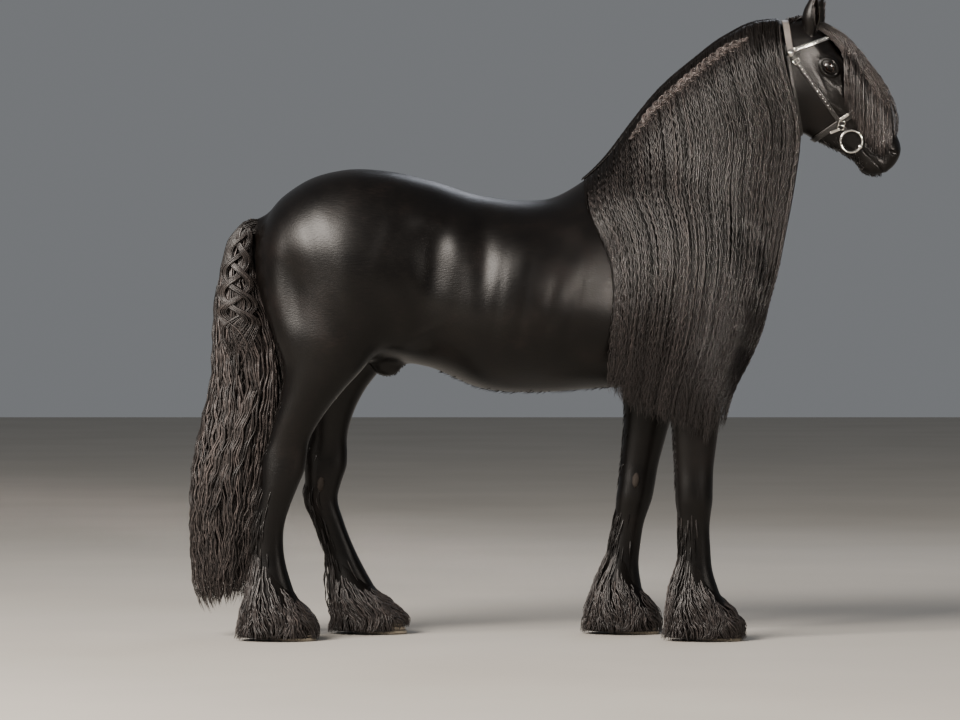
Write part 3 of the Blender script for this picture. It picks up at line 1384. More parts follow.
    def hanging(self, rng: Draws) -> Locks:
        """The locks that hang, spread evenly over the crest and through the mane's depth."""
        count, run = self.loose.count, self.loose.run
        number = np.arange(count)
        share = -0.01 + 1.06 * (number * GOLDEN_STEP % 1)
        layer = 0.3 + 3.7 * (number * SECOND_STEP % 1)[:, None]
        turns = TURN * run * rng.uniform(0.8, 2.2, count)[:, None] + rng.uniform(0, TURN,
                                                                                 count)[:, None]
        wander = rng.normal(0, 0.014, count)[:, None] + 0.009 * np.sin(turns)
        place = share[:, None] + wander * smooth(run)
        ends = 1.0 - 0.03 * rng.random(count) - 0.04 * rng.random(count)
        ends = np.where(rng.random(count) < 0.10, rng.uniform(0.6, 0.92, count), ends)
        path, outward = self.read(layer, np.minimum(place, 1.06), run * ends[:, None])
        wave, phase = rng.uniform(0.036, 0.046, count)[:, None], rng.uniform(0, TURN,
                                                                             count)[:, None]
        grown = smooth((run * 1.2 - 0.05) / 0.12) * rng.uniform(0.7, 1.3, count)[:, None]
        path = crimped(path, outward, wave, phase, 0.0032 * grown, 0.0024 * grown)
        return self.loose.laid(rng, path, outward, 0.35 + rng.normal(0, 0.12, count),
                               self.roots(share))

    def under(self, rng: Draws) -> Locks:
        """Broad dark locks close to the skin, which close the gaps between the hanging ones."""
        count, run = self.inmost.count, self.inmost.run
        share = np.linspace(-0.01, 1.05, count)
        layer = rng.uniform(0.0, 0.8, count)[:, None]
        path, outward = self.read(layer, share[:, None] + 0 * run,
                                  run * (0.96 - 0.05 * rng.random(count))[:, None])
        return self.inmost.laid(rng, path, outward, rng.uniform(0.05, 0.25, count),
                                self.roots(share))

    def band(self, rng: Draws) -> Locks:
        """The smooth dark hair over the crest, down to the braid."""
        count, run = self.crest.count, self.crest.run
        share = rng.uniform(-0.02, 1.05, count)
        layer = np.clip(rng.uniform(2.6, 4.0, count), 0, 4)[:, None] + 0 * run
        ends = np.interp(self.place(share), np.arange(len(self.shares)),
                         self.braid_run(3.6))[:, None]
        ends = ends * np.where((share > 0.22) & (share < 0.88), 1.05,
                               rng.uniform(1.0, 1.6, count))[:, None]
        place = share[:, None] - 0.016 * smooth(run)
        path, outward = self.read(layer, place, ends * run)
        path = path + outward * (0.0030 * smooth((run - 0.25) / 0.3)
                                 * (1 - smooth((run - 0.8) / 0.2)))[..., None]
        return self.crest.laid(rng, path, outward, rng.uniform(0.0, 0.08, count), self.roots(share))

    def roll(self, rng: Draws) -> Locks:
        """The hair rooted at the left of the crest, which lies over its top to the right."""
        count = self.rolled.count
        share = -0.02 + 1.06 * (np.arange(count) * GOLDEN_STEP % 1)
        x = self.root_x(share)
        full = 0.35 + 0.65 * smooth((share + 0.05) / 0.2)
        places = []
        for side, lift, behind in ((0.022 + rng.normal(0, 0.003, count), -0.004, 0.0),
                                   (0.008, 0.012, 0.004),
                                   (-0.014, 0.019, 0.010), (-0.034, 0.014, 0.016)):
            y = side + 0 * x
            height = crest_height(x - behind, y, lift * full if lift > 0 else lift)
            places.append(np.stack([x - behind, y, height], -1))
        path = evenly(np.stack(places, 1), self.rolled.steps)
        outward = unit(slope_of(body_field, path) + np.array([0.0, 0.0, 0.5]))
        widths, depths = self.rolled.sizes(rng)
        return Locks(path, outward, widths, depths, rng.uniform(0.0, 0.1, count), self.roots(share),
                     self.rolled.taper,
                     self.rolled.root)

    def braid(self, rng: Draws) -> Locks:
        """The running braid below the crest: three strands of hair that loop over one another."""
        steps, each = self.braided.steps, self.braided.count // 3
        share = np.linspace(*self.braid_span, steps)
        at = np.interp(self.place(share), np.arange(len(self.shares)), self.braid_run(3.9))
        middle, outward = self.read(np.full((1, steps), 3.9), share[None], at[None])
        middle, outward = middle[0], outward[0]
        for _ in range(12):
            middle[1:-1] = (middle[:-2] + middle[1:-1] * 2 + middle[2:]) / 4
        across = unit(np.cross(unit(np.gradient(middle, axis=0)), outward))
        length = lengths_along(middle)
        fade = smooth(np.minimum(share - share[0], share[-1] - share) / 0.10)
        paths, tones = [], []
        for strand in range(3):
            turn = TURN * (length / self.braid_loop + strand / 3)
            centre = (middle + across * (0.0105 * (0.3 + 0.7 * fade) * np.sin(turn))[:, None]
                      + outward * (0.003 + 0.0045 * np.sin(2 * turn + 0.5))[:, None])
            for number in range(each):
                angle = TURN * number / each + 0.5 * turn
                size = (0.0030 + 0.0050 * fade) * (1 + 0.15 * np.sin(2 * turn + number))
                paths.append(centre + across * (size * np.cos(angle))[:, None]
                             + outward * (0.75 * size * np.sin(angle))[:, None])
                tones.append(0.70 + rng.normal(0, 0.10))
        return self.braided.laid(rng, np.array(paths),
                                 np.broadcast_to(outward, (len(paths), steps, 3)), np.array(tones),
                                 self.roots(np.full(len(paths), 0.5)))

    def build(self) -> list[Piece]:
        """Make every piece of the mane."""
        rng = np.random.default_rng(11)
        makers = {"mane_under": self.under, "mane_locks": self.hanging, "mane_crest": self.band,
                  "mane_roll": self.roll,
                  "mane_braid": self.braid}
        return [piece for name, maker in makers.items() for piece in maker(rng).build(name)]


@dataclass
class Forelock:
    """The forelock: locks that leave the poll between the ears and hang over the face."""

    fan: int = 33
    loose: Strand = Strand(800, 25, (0.0055, 0.0085), (0.0018, 0.0028), 0.8)
    tuft: Strand = Strand(80, 12, 0.0050, 0.0020, 0.75)
    deep_width: float = 0.013
    held_in: tuple[tuple[float, float], ...] = (
        (0.060, 0.003), (0.040, 0.006), (0.022, 0.011), (0.009, 0.018), (0.001, 0.024),
                                                (-0.010, 0.030),
    )

    def guide_paths(self, sides: Array, inset: float, lift: float) -> Array:
        """Paths that follow the forelock's outline, held in by inset, and then hang straight."""
        steps, top = 30, FORELOCK_OUTLINE[0][0]
        tips = curve_through(FORELOCK_ENDS, np.abs(sides))[..., 0]
        z = top + (tips - top)[:, None] * np.linspace(0, 1, steps - 1)
        outline = curve_through(FORELOCK_OUTLINE, z)[..., 0] - inset
        furthest = FORELOCK_FRONT - (FORELOCK_FRONT - FORELOCK_REAR) * np.abs(sides)[:, None]
        x = -joined(-outline, -furthest, -0.05)
        way_in = -np.sign(sides + 1e-6)[:, None, None] * SIDEWAYS
        start = np.stack([x, 0 * x, z], -1) - 0.30 * way_in
        contact = 0.30 - skin_hit(start, way_in, 0.29, lift)
        spread = np.abs(sides)[:, None] * (0.026 + 0.034 * smooth((top - z) / 0.2))
        out = np.fmax(spread, contact)
        for k in range(1, steps - 1):
            out[:, k] = np.maximum(out[:, k - 1] * 0.985, out[:, k])
        hanging = np.stack([x, np.sign(sides + 1e-6)[:, None] * out, z], -1)
        root = on_head(np.full(len(sides), -0.004), sides * 0.024, np.full(len(sides), 0.045))
        return np.concatenate([root[:, None], hanging], 1)

    def build(self) -> list[Piece]:
        """Make the forelock's locks."""
        rng = np.random.default_rng(23)
        count, run = self.loose.count, self.loose.run
        sides = np.linspace(-1, 1, self.fan)
        guides = np.stack([evenly(self.guide_paths(sides, inset, lift), 48) for inset,
                           lift in self.held_in])
        clumps = count // 4
        clump = np.repeat(np.arange(clumps), 4)
        side = (rng.choice([-1, 1], clumps) * rng.random(clumps) ** 0.85)[clump]
        deep = rng.random(clumps)[clump] < 0.3
        layer = np.where(deep, rng.uniform(0, 1.5, clumps)[clump],
                         rng.uniform(1.2, 4, clumps)[clump])
        layer = np.where(rng.random(count) < 0.05, rng.uniform(4, 5, count), layer)[:, None]
        place = np.clip(side[:, None] + rng.normal(0, 0.035, count)[:, None] * (1 - 0.3 * run), -1,
                        1)
        ends = 1.0 - 0.07 * rng.random(count)
        ends = np.where(rng.random(count) < 0.15, rng.uniform(0.7, 0.95, count), ends)
        path = read_guides(guides, layer, (place + 1) / 2 * (self.fan - 1), run * ends[:, None])
        outward = unit(unit(slope_of(body_field, path)) + HEAD_ABOVE * 0.8)
        wave = rng.uniform(0.050, 0.070, clumps)[clump][:, None]
        grown = smooth((run - 0.15) / 0.3)
        phase = rng.uniform(0, TURN, clumps)[clump][:, None]
        path = crimped(path, outward, wave, phase, 0.0026 * grown, 0.0016 * grown)
        locks = self.loose.laid(rng, path, outward, 0.48 + rng.normal(0, 0.14, count),
                                self.roots(path[:, 0]))
        locks.widths = np.where(deep, self.deep_width, locks.widths)
        return locks.build("forelock") + self.poll_tuft(rng).build("poll_tuft")

    def poll_tuft(self, rng: Draws) -> Locks:
        """Short hair that stands up on the poll between the ears and falls over to both sides."""
        count, run = self.tuft.count, self.tuft.run
        x, y = rng.uniform(0.858, 0.905, count), rng.normal(0, 0.016, count)
        top = crest_height(x, 0.0, 0.0)
        rise = np.clip(2.170 - top, 0.02, 0.08) * rng.uniform(0.75, 1.0, count)
        way = rng.uniform(-0.5, 1.0, count)[:, None] * 0.030
        path = np.stack([x[:, None] + way * run, y[:, None] * (1 + 0.8 * run),
                         (top - 0.006)[:, None] + rise[:, None] * np.sin(0.62 * math.pi * run)], -1)
        outward = np.broadcast_to(np.array([0.3, -1.0, 0.3]), path.shape)
        return self.tuft.laid(rng, path, outward, rng.normal(0.35, 0.1, count),
                              self.roots(path[:, 0]))

    def roots(self, points: Array) -> Array:
        """Places of roots on the map, down the face."""
        return unwrapped(points, POLL, HEAD_AHEAD, (0.52, 0.52, 0.26, 0.46), 0.6)


@dataclass
class Tail:
    """The tail: hair from the dock, loosely plaited over its top, that falls to near the ground."""

    loose: Strand = Strand(760, 42, (0.0065, 0.0105), (0.0025, 0.0035), 0.72)
    plaited: Strand = Strand(48, 72, 0.0048, 0.0032, 0.7)
    covering: Strand = Strand(260, 20, (0.006, 0.009), 0.0026, 0.5)
    plait_top: float = 1.44
    plait_end: float = 1.05
    plait_loop: float = 0.22

    def ring(self, z: Array, around: Array, inset: Array) -> Array:
        """Points of the tail's outline at these heights and angles, held in by inset."""
        rear, front, half = np.moveaxis(curve_through(TAIL_OUTLINE, z), -1, 0)
        middle, reach = (rear + front) / 2, np.maximum((front - rear) / 2 - inset, 0.004)
        return np.stack([middle + reach * np.cos(around),
                         np.maximum(half - inset, 0.004) * np.sin(around), z], -1)

    def bone(self, steps: int) -> Array:
        """Points along the middle of the dock."""
        return evenly(np.array([(x, 0.0, z) for x, z in DOCK])[None], steps)[0]

    def dock(self) -> Piece:
        """The tail's root of bone and flesh."""
        bone = self.bone(24)
        size = 2 * np.interp(np.linspace(0, 1, 24), [0, 0.2, 0.4, 0.7, 1],
                             [0.037, 0.035, 0.029, 0.022, 0.009])
        made = swept("tail_dock", bone, np.tile(SIDEWAYS, (24, 1)), size, size, oval(20))
        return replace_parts(COAT.dress(made, "coat"), "tail")

    def hair(self, rng: Draws) -> Locks:
        """The locks, in clumps, from the dock down."""
        count = self.loose.count
        clumps = count // 4
        clump = np.repeat(np.arange(clumps), 4)
        angle = rng.uniform(0, TURN, clumps)[clump] + rng.normal(0, 0.09, count)
        inset = rng.uniform(0.000, 0.040, clumps)[clump] + 0.003 + rng.normal(0, 0.002, count)
        top = rng.uniform(1.16, 1.432, clumps)[clump]
        lowest = TAIL_OUTLINE[-1][0]
        tip = (lowest + 0.10 * rng.random(clumps)[clump] ** 2 + 0.05 * rng.random(count)
               + 0.02 * (1 + np.cos(angle)))
        tip = np.where(rng.random(count) < 0.12, tip + rng.uniform(0.1, 0.4, count), tip)
        run = np.linspace(0, 1, self.loose.steps - 2)[None]
        z = top[:, None] + (tip - top)[:, None] * run
        turn = angle[:, None] + 0.12 * np.sin(TURN * (top[:, None] - z) / 0.5 + angle[:, None] * 3)
        path = self.ring(z, turn, inset[:, None] * (1 - 0.3 * run))
        dock_x = curve_through([(b, a) for a, b in DOCK[1:]], top)[:, 0]
        root = np.stack([dock_x, 0 * dock_x, top + 0.035], -1)
        near = root + (path[:, 0] - root) * 0.55 + np.array([0.0, 0.0, 0.004])
        path = np.concatenate([root[:, None], near[:, None], path], 1)
        turn = np.concatenate([turn[:, :1], turn[:, :1], turn], 1)
        outward = np.stack([np.cos(turn), np.sin(turn), 0 * turn], -1)
        run = self.loose.run
        grown = smooth((run - 0.05) / 0.15) * rng.uniform(0.6, 1.3, count)[:, None]
        wave = rng.uniform(0.085, 0.115, clumps)[clump][:, None]
        phase = rng.uniform(0, TURN, clumps)[clump][:, None]
        path = crimped(path, outward, wave, phase, 0.0050 * grown, 0.0030 * grown)
        tones = 0.54 + rng.normal(0, 0.08, clumps)[clump] + rng.normal(0, 0.08, count)
        return self.loose.laid(rng, path, outward, tones, self.roots(root))

    def roots(self, points: Array) -> Array:
        """Places of roots on the map, down the dock."""
        return unwrapped(points, (-1.05, 0, 1.44), DOWN, (0.80, 0.02, 0.18, 0.46), 0.4)

    def plait(self, rng: Draws) -> Locks:
        """The loose plait over the tail's top: three strands that cross in a row of chevrons."""
        paths, outwards, tones = [], [], []
        for strand in range(3):
            for share in np.linspace(-1, 1, self.plaited.count // 3):
                z = np.linspace(self.plait_top - 0.005, rng.uniform(0.84, 1.02), self.plaited.steps)
                held = smooth((z - self.plait_end) / 0.10)
                turn = TURN * ((self.plait_top - z) / self.plait_loop + strand / 3)
                stray = share + rng.normal(0, 0.08)
                angle = 4.6 + (0.20 + 0.42 * held) * np.sin(turn) + (0.42 - 0.24 * held) * stray
                lift = (0.0045 * (1 + np.sin(2 * turn)) * held + 0.005 * math.sqrt(1 - share**2)
                        + rng.normal(0, 0.0012))
                lift = lift - 0.012 * smooth((self.plait_end - z) / 0.12)
                paths.append(self.ring(z, angle, -lift))
                outwards.append(np.stack([np.cos(angle), np.sin(angle), 0 * z], -1))
                tones.append(0.56 - 0.16 * abs(share) + rng.normal(0, 0.10))
        path = np.array(paths)
        return self.plaited.laid(rng, path, np.array(outwards), np.array(tones),
                                 self.roots(path[:, 0]))

    def cover(self, rng: Draws) -> Locks:
        """The hair that grows along the dock's top and sides and lies over it."""
        count, run = self.covering.count, self.covering.run
        bone = self.bone(40)
        tangent = unit(np.gradient(bone, axis=0))
        start = rng.uniform(0, 0.35, count)[:, None]
        along = start + (rng.uniform(0.75, 1.0, count)[:, None] - start) * run
        middle = np.stack([np.interp(along, np.linspace(0, 1, 40), bone[:, n]) for n in range(3)],
                          -1)
        way = unit(np.stack([np.interp(along, np.linspace(0, 1, 40), tangent[:, n])
                             for n in range(3)], -1))
        turn = rng.uniform(-1.9, 1.9, count)[:, None] + 0 * run
        outward = np.cos(turn)[..., None] * np.cross(SIDEWAYS,
                                                     way) + np.sin(turn)[..., None] * SIDEWAYS
        tube = middle + outward * (0.036 + 0.008 * rng.random(count)[:, None]
                                   - 0.006 * (run < 0.04))[..., None]
        hang = self.ring(middle[..., 2], math.pi - np.arctan2(outward[..., 1], -outward[..., 0]),
                         0.006)
        share = smooth((run - 0.35) / 0.65)[..., None]
        path = tube * (1 - share) + hang * share
        return self.covering.laid(rng, path, outward, rng.normal(0.30, 0.10, count),
                                  self.roots(path[:, 0]))

    def core(self) -> Piece:
        """The dark inside of the tail, which no light comes through."""
        z, around = np.meshgrid(np.linspace(1.30, 0.24, 20), full_turn(28), indexing="ij")
        return inner("tail_core", self.ring(z, around, 0.028))

    def build(self) -> list[Piece]:
        """Make the dock and the hair."""
        rng = np.random.default_rng(37)
        locks = (self.hair(rng).build("tail_hair") + self.plait(rng).build("tail_plait")
                 + self.cover(rng).build("tail_cover"))
        return [self.dock(), self.core()] + locks


@dataclass
class Feather:
    """One leg's feather: wavy hair from the cannon down, which flares over the hoof."""

    leg: Leg
    loose: Strand = Strand(720, 14, (0.0045, 0.0075), (0.002, 0.003), 0.8)
    tendon: Strand = Strand(260, 8, (0.005, 0.008), 0.002, 0.85)
    ground: float = 0.002

    def ring(self, z: Array, around: Array, inset: Array) -> Array:
        """Points of the feather's outline at these heights and angles, held in by inset."""
        shift, reach, half = np.moveaxis(curve_through(FEATHER_OUTLINE, z), -1, 0)
        middle = curve_through([(row[0], row[4]) for row in self.leg.rows], z)[..., 0] + shift
        x = middle + np.maximum(reach - inset, 0.004) * np.cos(around)
        y = self.leg.side.value * STANCE_HALF_WIDTH + np.maximum(half - inset,
                                                                 0.004) * np.sin(around)
        return np.stack([x, y, z], -1)

    def skirt(self, rng: Draws) -> Locks:
        """The long hair that flares over the hoof."""
        count, run = self.loose.count, self.loose.run
        clumps = count // 4
        clump = np.repeat(np.arange(clumps), 4)
        angle = rng.uniform(0, TURN, clumps)[clump] + rng.normal(0, 0.10, count)
        behind = 0.5 - 0.5 * np.cos(angle)
        top = 0.10 + 0.25 * rng.random(clumps)[clump] ** 1.3 * (0.35 + 0.65
                                                                * behind) + 0.008 * rng.normal(size=count)
        bare = 0.022 * smooth((np.cos(angle) - 0.5) / 0.4) * (self.leg.name == "hindleg_left")
        tip = self.ground + bare + 0.006 * rng.random(count) ** 2
        tip = np.where(rng.random(count) < 0.3, tip + 0.35 * (top - tip) * rng.random(count), tip)
        z = top[:, None] + (tip - top)[:, None] * run
        start = np.clip(0.014 + 0.12 * (0.34 - top), 0.016, 0.05)[:, None]
        outer = rng.uniform(-0.004, 0.014, clumps)[clump][:, None]
        inset = start + (outer - start) * smooth(run / 0.55)
        turn = angle[:, None] + 0.10 * np.sin(run * 5 + angle[:, None] * 5)
        path = self.ring(z, turn, inset)
        outward = np.stack([np.cos(turn), np.sin(turn), 0.25 + 0 * turn], -1)
        grown = smooth((run - 0.1) / 0.3)
        wave = rng.uniform(0.05, 0.08, clumps)[clump][:, None]
        path = crimped(path, outward, wave, rng.uniform(0, 6.3, clumps)[clump][:, None],
                       0.0040 * grown, 0.0026 * grown)
        path[..., 2] = np.maximum(path[..., 2], self.ground)
        tones = 0.50 + rng.normal(0, 0.06, clumps)[clump] + rng.normal(0, 0.06, count)
        return self.loose.laid(rng, path, outward, tones, self.roots(path[:, 0]))

    def core(self) -> Piece:
        """The dark inside of the feather, round the pastern and the hoof."""
        z, around = np.meshgrid(np.linspace(0.33, 0.012, 14), full_turn(28), indexing="ij")
        rings = self.ring(z, around, 0.017)
        if self.leg.name == "hindleg_left":
            rings[..., 0] = np.minimum(rings[..., 0], self.leg.hoof_x + 0.03)
        return inner("feather_core_" + self.leg.name, rings)

    def roots(self, points: Array) -> Array:
        """Places of roots on the map, down the leg."""
        start = (self.leg.hoof_x, self.leg.side.value * STANCE_HALF_WIDTH, 0.60)
        patch = (0.02 + 0.19 * LEGS.index(self.leg), 0.02, 0.17, 0.46)
        return unwrapped(points, start, DOWN, patch, 0.6)

    def tendon_hair(self, rng: Draws) -> Locks:
        """Shorter hair down the back of the cannon, from below the knee or hock."""
        count, run = self.tendon.count, self.tendon.run
        knee = 0.47 if self.leg.name.startswith("fore") else 0.56
        top = rng.uniform(0.27, knee, count)
        angle = math.pi + rng.normal(0, 0.55, count)
        long = rng.uniform(0.07, 0.12, count)[:, None]
        z = top[:, None] - long * run
        front, rear, half, middle = np.moveaxis(curve_through(self.leg.rows, z), -1, 0)
        cos, sin = np.cos(angle)[:, None], np.sin(angle)[:, None]
        reach = np.where(cos > 0, front - middle, middle - rear)
        off = -0.006 + rng.uniform(0.006, 0.014, count)[:, None] * smooth(run * 1.3)
        path = np.stack([middle + (reach + off) * cos, self.leg.side.value * STANCE_HALF_WIDTH
                         + (half + off) * sin, z], -1)
        outward = np.stack([cos + 0 * z, sin + 0 * z, 0 * z + 0.1], -1)
        return self.tendon.laid(rng, path, outward, rng.normal(0.22, 0.10, count),
                                self.roots(path[:, 0]))

    def build(self) -> list[Piece]:
        """Make the leg's feather."""
        rng = np.random.default_rng(41 + LEGS.index(self.leg))
        made = self.skirt(rng).build("feather_" + self.leg.name)
        return made + self.tendon_hair(rng).build("tendon_hair_" + self.leg.name) + [self.core()]


@dataclass(frozen=True)
class Fringe:
    """A line on the body along which the short coat breaks into small tufts.

    start and end lie outside the body, cast is the way from them to the skin and lie the way the
    hair lies. Both sides get it where paired is true.
    """

    name: str
    start: tuple[float, float, float]
    end: tuple[float, float, float]
    cast: tuple[float, float, float]
    lie: tuple[float, float, float]
    long: float
    count: int
    spread: float
    paired: bool = False

    def build(self) -> list[Piece]:
        """Make the tufts."""
        rng = np.random.default_rng(len(self.name) * 7 + self.count)
        made = []
        for side in (Side if self.paired else (Side.LEFT,)):
            flip = np.array([1.0, side.value, 1.0])
            cast, lie = unit(np.array(self.cast) * flip), unit(np.array(self.lie) * flip)
            share = rng.random(self.count)[:, None]
            start = (np.array(self.start) + (np.array(self.end) - np.array(self.start))
                     * share) * flip
            start = start + np.cross(cast, lie) * rng.normal(0, self.spread, self.count)[:, None]
            hit = skin_hit(start, cast, 0.6, 0.0, 60)
            kept = np.isfinite(hit)
            root = start[kept] + cast * hit[kept][:, None]
            out = unit(slope_of(body_field, root))
            way = unit(lie - out * (out @ lie)[:, None] + out * 0.30)
            run = np.linspace(0, 1, 6)[None, :, None]
            long = self.long * rng.uniform(0.6, 1.2, kept.sum())[:, None, None]
            path = (root - out * 0.004)[:, None] + way[:, None] * long * run + DOWN * (0.25 * long
                                                                                       * run**2)
            tuft = Strand(kept.sum(), 6, 0.0050, 0.0016, 0.9)
            roots = unwrapped(root, (-1.0, 0.0, 1.2), np.array([1.0, 0.0, 0.0]),
                              (0.80, 0.74, 0.18, 0.24), 2.2)
            outward, tones = np.broadcast_to(out[:, None], path.shape), rng.normal(0.18, 0.08,
                                                                                   tuft.count)
            locks = tuft.laid(rng, path, outward, tones, roots)
            made += locks.build("tufts_" + self.name + ("_" + side.word if self.paired else ""))
        return made


FRINGES = (
    Fringe("chest", (0.98, 0.0, 1.36), (0.95, 0.0, 0.98), (-1, 0, 0), (0, 0, -1), 0.026, 150,
           0.022),
    Fringe("belly", (-0.36, 0.0, 0.60), (0.34, 0.0, 0.60), (0, 0, 1), (-1, 0, 0), 0.022, 170,
           0.030),
    Fringe("jaw", (0.90, 0.034, 1.70), (1.06, 0.022, 1.60), (0.83, 0, 0.56), (0.5, 0, -0.83), 0.018,
           110, 0.010, True),
    Fringe("forearm_near", (0.20, -0.165, 0.92), (0.30, -0.165, 0.54), (1, 0, 0), (-0.3, 0, -1),
           0.024, 120, 0.018),
    Fringe("forearm_far", (0.05, 0.165, 0.92), (0.08, 0.165, 0.54), (1, 0, 0), (-0.3, 0, -1), 0.024,
           120, 0.018),
    Fringe("gaskin_near", (-1.20, -0.165, 1.05), (-1.25, -0.165, 0.62), (1, 0, 0), (-0.3, 0, -1),
           0.020, 120, 0.018),
    Fringe("gaskin_far", (-1.10, 0.165, 1.05), (-1.15, 0.165, 0.62), (1, 0, 0), (-0.3, 0, -1),
           0.020, 120, 0.018),
    Fringe("chin", (1.08, 0.0, 1.52), (1.16, 0.0, 1.53), (0.3, 0, 1), (0.3, 0, -1), 0.012, 60,
           0.014),
    Fringe("sheath", (-0.62, 0.0, 0.70), (-0.48, 0.0, 0.70), (0, 0, 1), (0.6, 0, -1), 0.007, 40,
           0.008),
)


@dataclass
class Ear:
    """One ear: a pointed cup of skin with a rounded rim, and the hair that fills it."""

    side: Side
    lean: float
    foot: tuple[float, float]
    length: float = 0.155
    wall: float = 0.0048
    turns: int = 22
    tuft: Strand = Strand(200, 6, 0.0030, 0.0012, 0.9)
    profile: tuple[tuple[float, float, float], ...] = (
        (-0.16, 0.030, 172), (0.0, 0.023, 165), (0.16, 0.028, 150), (0.32, 0.034, 130),
                                                       (0.50, 0.033, 114), (0.68, 0.024, 104),
        (0.86, 0.0122, 98), (0.96, 0.0055, 95), (1.0, 0.003, 95),
    )

    def frame(self) -> tuple[Array, Array, Array, Array]:
        """(foot, up, the way it faces, across)."""
        sign = self.side.value
        foot = on_head(np.array(self.foot[0]), np.array(sign * 0.056), np.array(self.foot[1]))
        up = unit(np.array([math.sin(self.lean), sign * 0.16, math.cos(self.lean)]))
        facing = np.array([1.0, sign * 0.55, 0.0])
        facing = unit(facing - up * facing.dot(up))
        return foot, up, facing, np.cross(up, facing)

    def cup(self) -> Piece:
        """The ear's shell."""
        foot, up, facing, across = self.frame()
        heights = np.concatenate([np.linspace(-0.16, 0.9, 26), [0.94, 0.97, 0.99, 1.0]])
        table = curve_through(self.profile, heights)
        rings = []
        for height, (radius, half) in zip(heights, table):
            angles = np.radians(np.linspace(-half, half, self.turns))
            wall = min(self.wall, 0.45 * radius)
            curl = 1 + 0.05 * np.cos(angles * 2) + 0.02 * np.sin(height * 9)
            centre = foot + up * (self.length * height) + facing * (0.008 - 0.012 * height)
            ring = []
            for reach, order in ((radius - wall * 0.15, angles),
                                 (radius - wall * 0.85, angles[::-1])):
                for angle, bend in zip(order, curl):
                    ring.append(centre - facing * (reach * bend * math.cos(angle))
                                + across * (reach * bend * math.sin(angle)))
            rings.append(ring)
        made = closed_rings("ear_cup_" + self.side.word, np.array(rings))
        COAT.dress(made, "coat")
        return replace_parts(made, "ear_" + self.side.word)

    def tufts(self) -> list[Piece]:
        """Hair inside the cup and along its edges."""
        rng = np.random.default_rng(61 + self.side.value)
        foot, up, facing, across = self.frame()
        count, run = self.tuft.count, self.tuft.run[..., None]
        height = rng.uniform(0.04, 0.86, count)
        radius, half = curve_through(self.profile, height).T
        edge = rng.random(count) < 0.55
        at_edge = rng.choice([-1, 1], count) * (half - rng.uniform(1, 8, count))
        angle = np.radians(np.where(edge, at_edge, rng.uniform(-1, 1, count) * half * 0.8))
        reach = radius - self.wall * 0.8
        centre = foot + up * (self.length * height)[:, None] + facing * (0.008 - 0.012
                                                                         * height)[:, None]
        out = -facing * np.cos(angle)[:, None] + across * np.sin(angle)[:, None]
        root = centre + out * reach[:, None]
        middle = foot + up * (self.length * np.minimum(height + 0.30,
                                                       1.0))[:, None] + facing * 0.012
        aim = middle - root
        way = unit(aim * 0.6 + up * 0.03 + facing * np.where(edge, 0.004, 0.012)[:, None])
        long = np.where(edge, rng.uniform(0.012, 0.026, count),
                        rng.uniform(0.018, 0.036, count))[:, None, None]
        path = root[:, None] + way[:, None] * (run * long) + up * (0.15 * long * run**2)
        roots = unwrapped(root, foot, up, (0.80 + 0.09 * (self.side is Side.LEFT), 0.52, 0.08, 0.2),
                          self.length)
        locks = self.tuft.laid(rng, path, np.broadcast_to(out[:, None], path.shape),
                               rng.normal(0.42, 0.18, count), roots)
        return locks.build("ear_hair_" + self.side.word)

    def build(self) -> list[Piece]:
        """Make the ear and its hair."""
        return [self.cup()] + self.tufts()


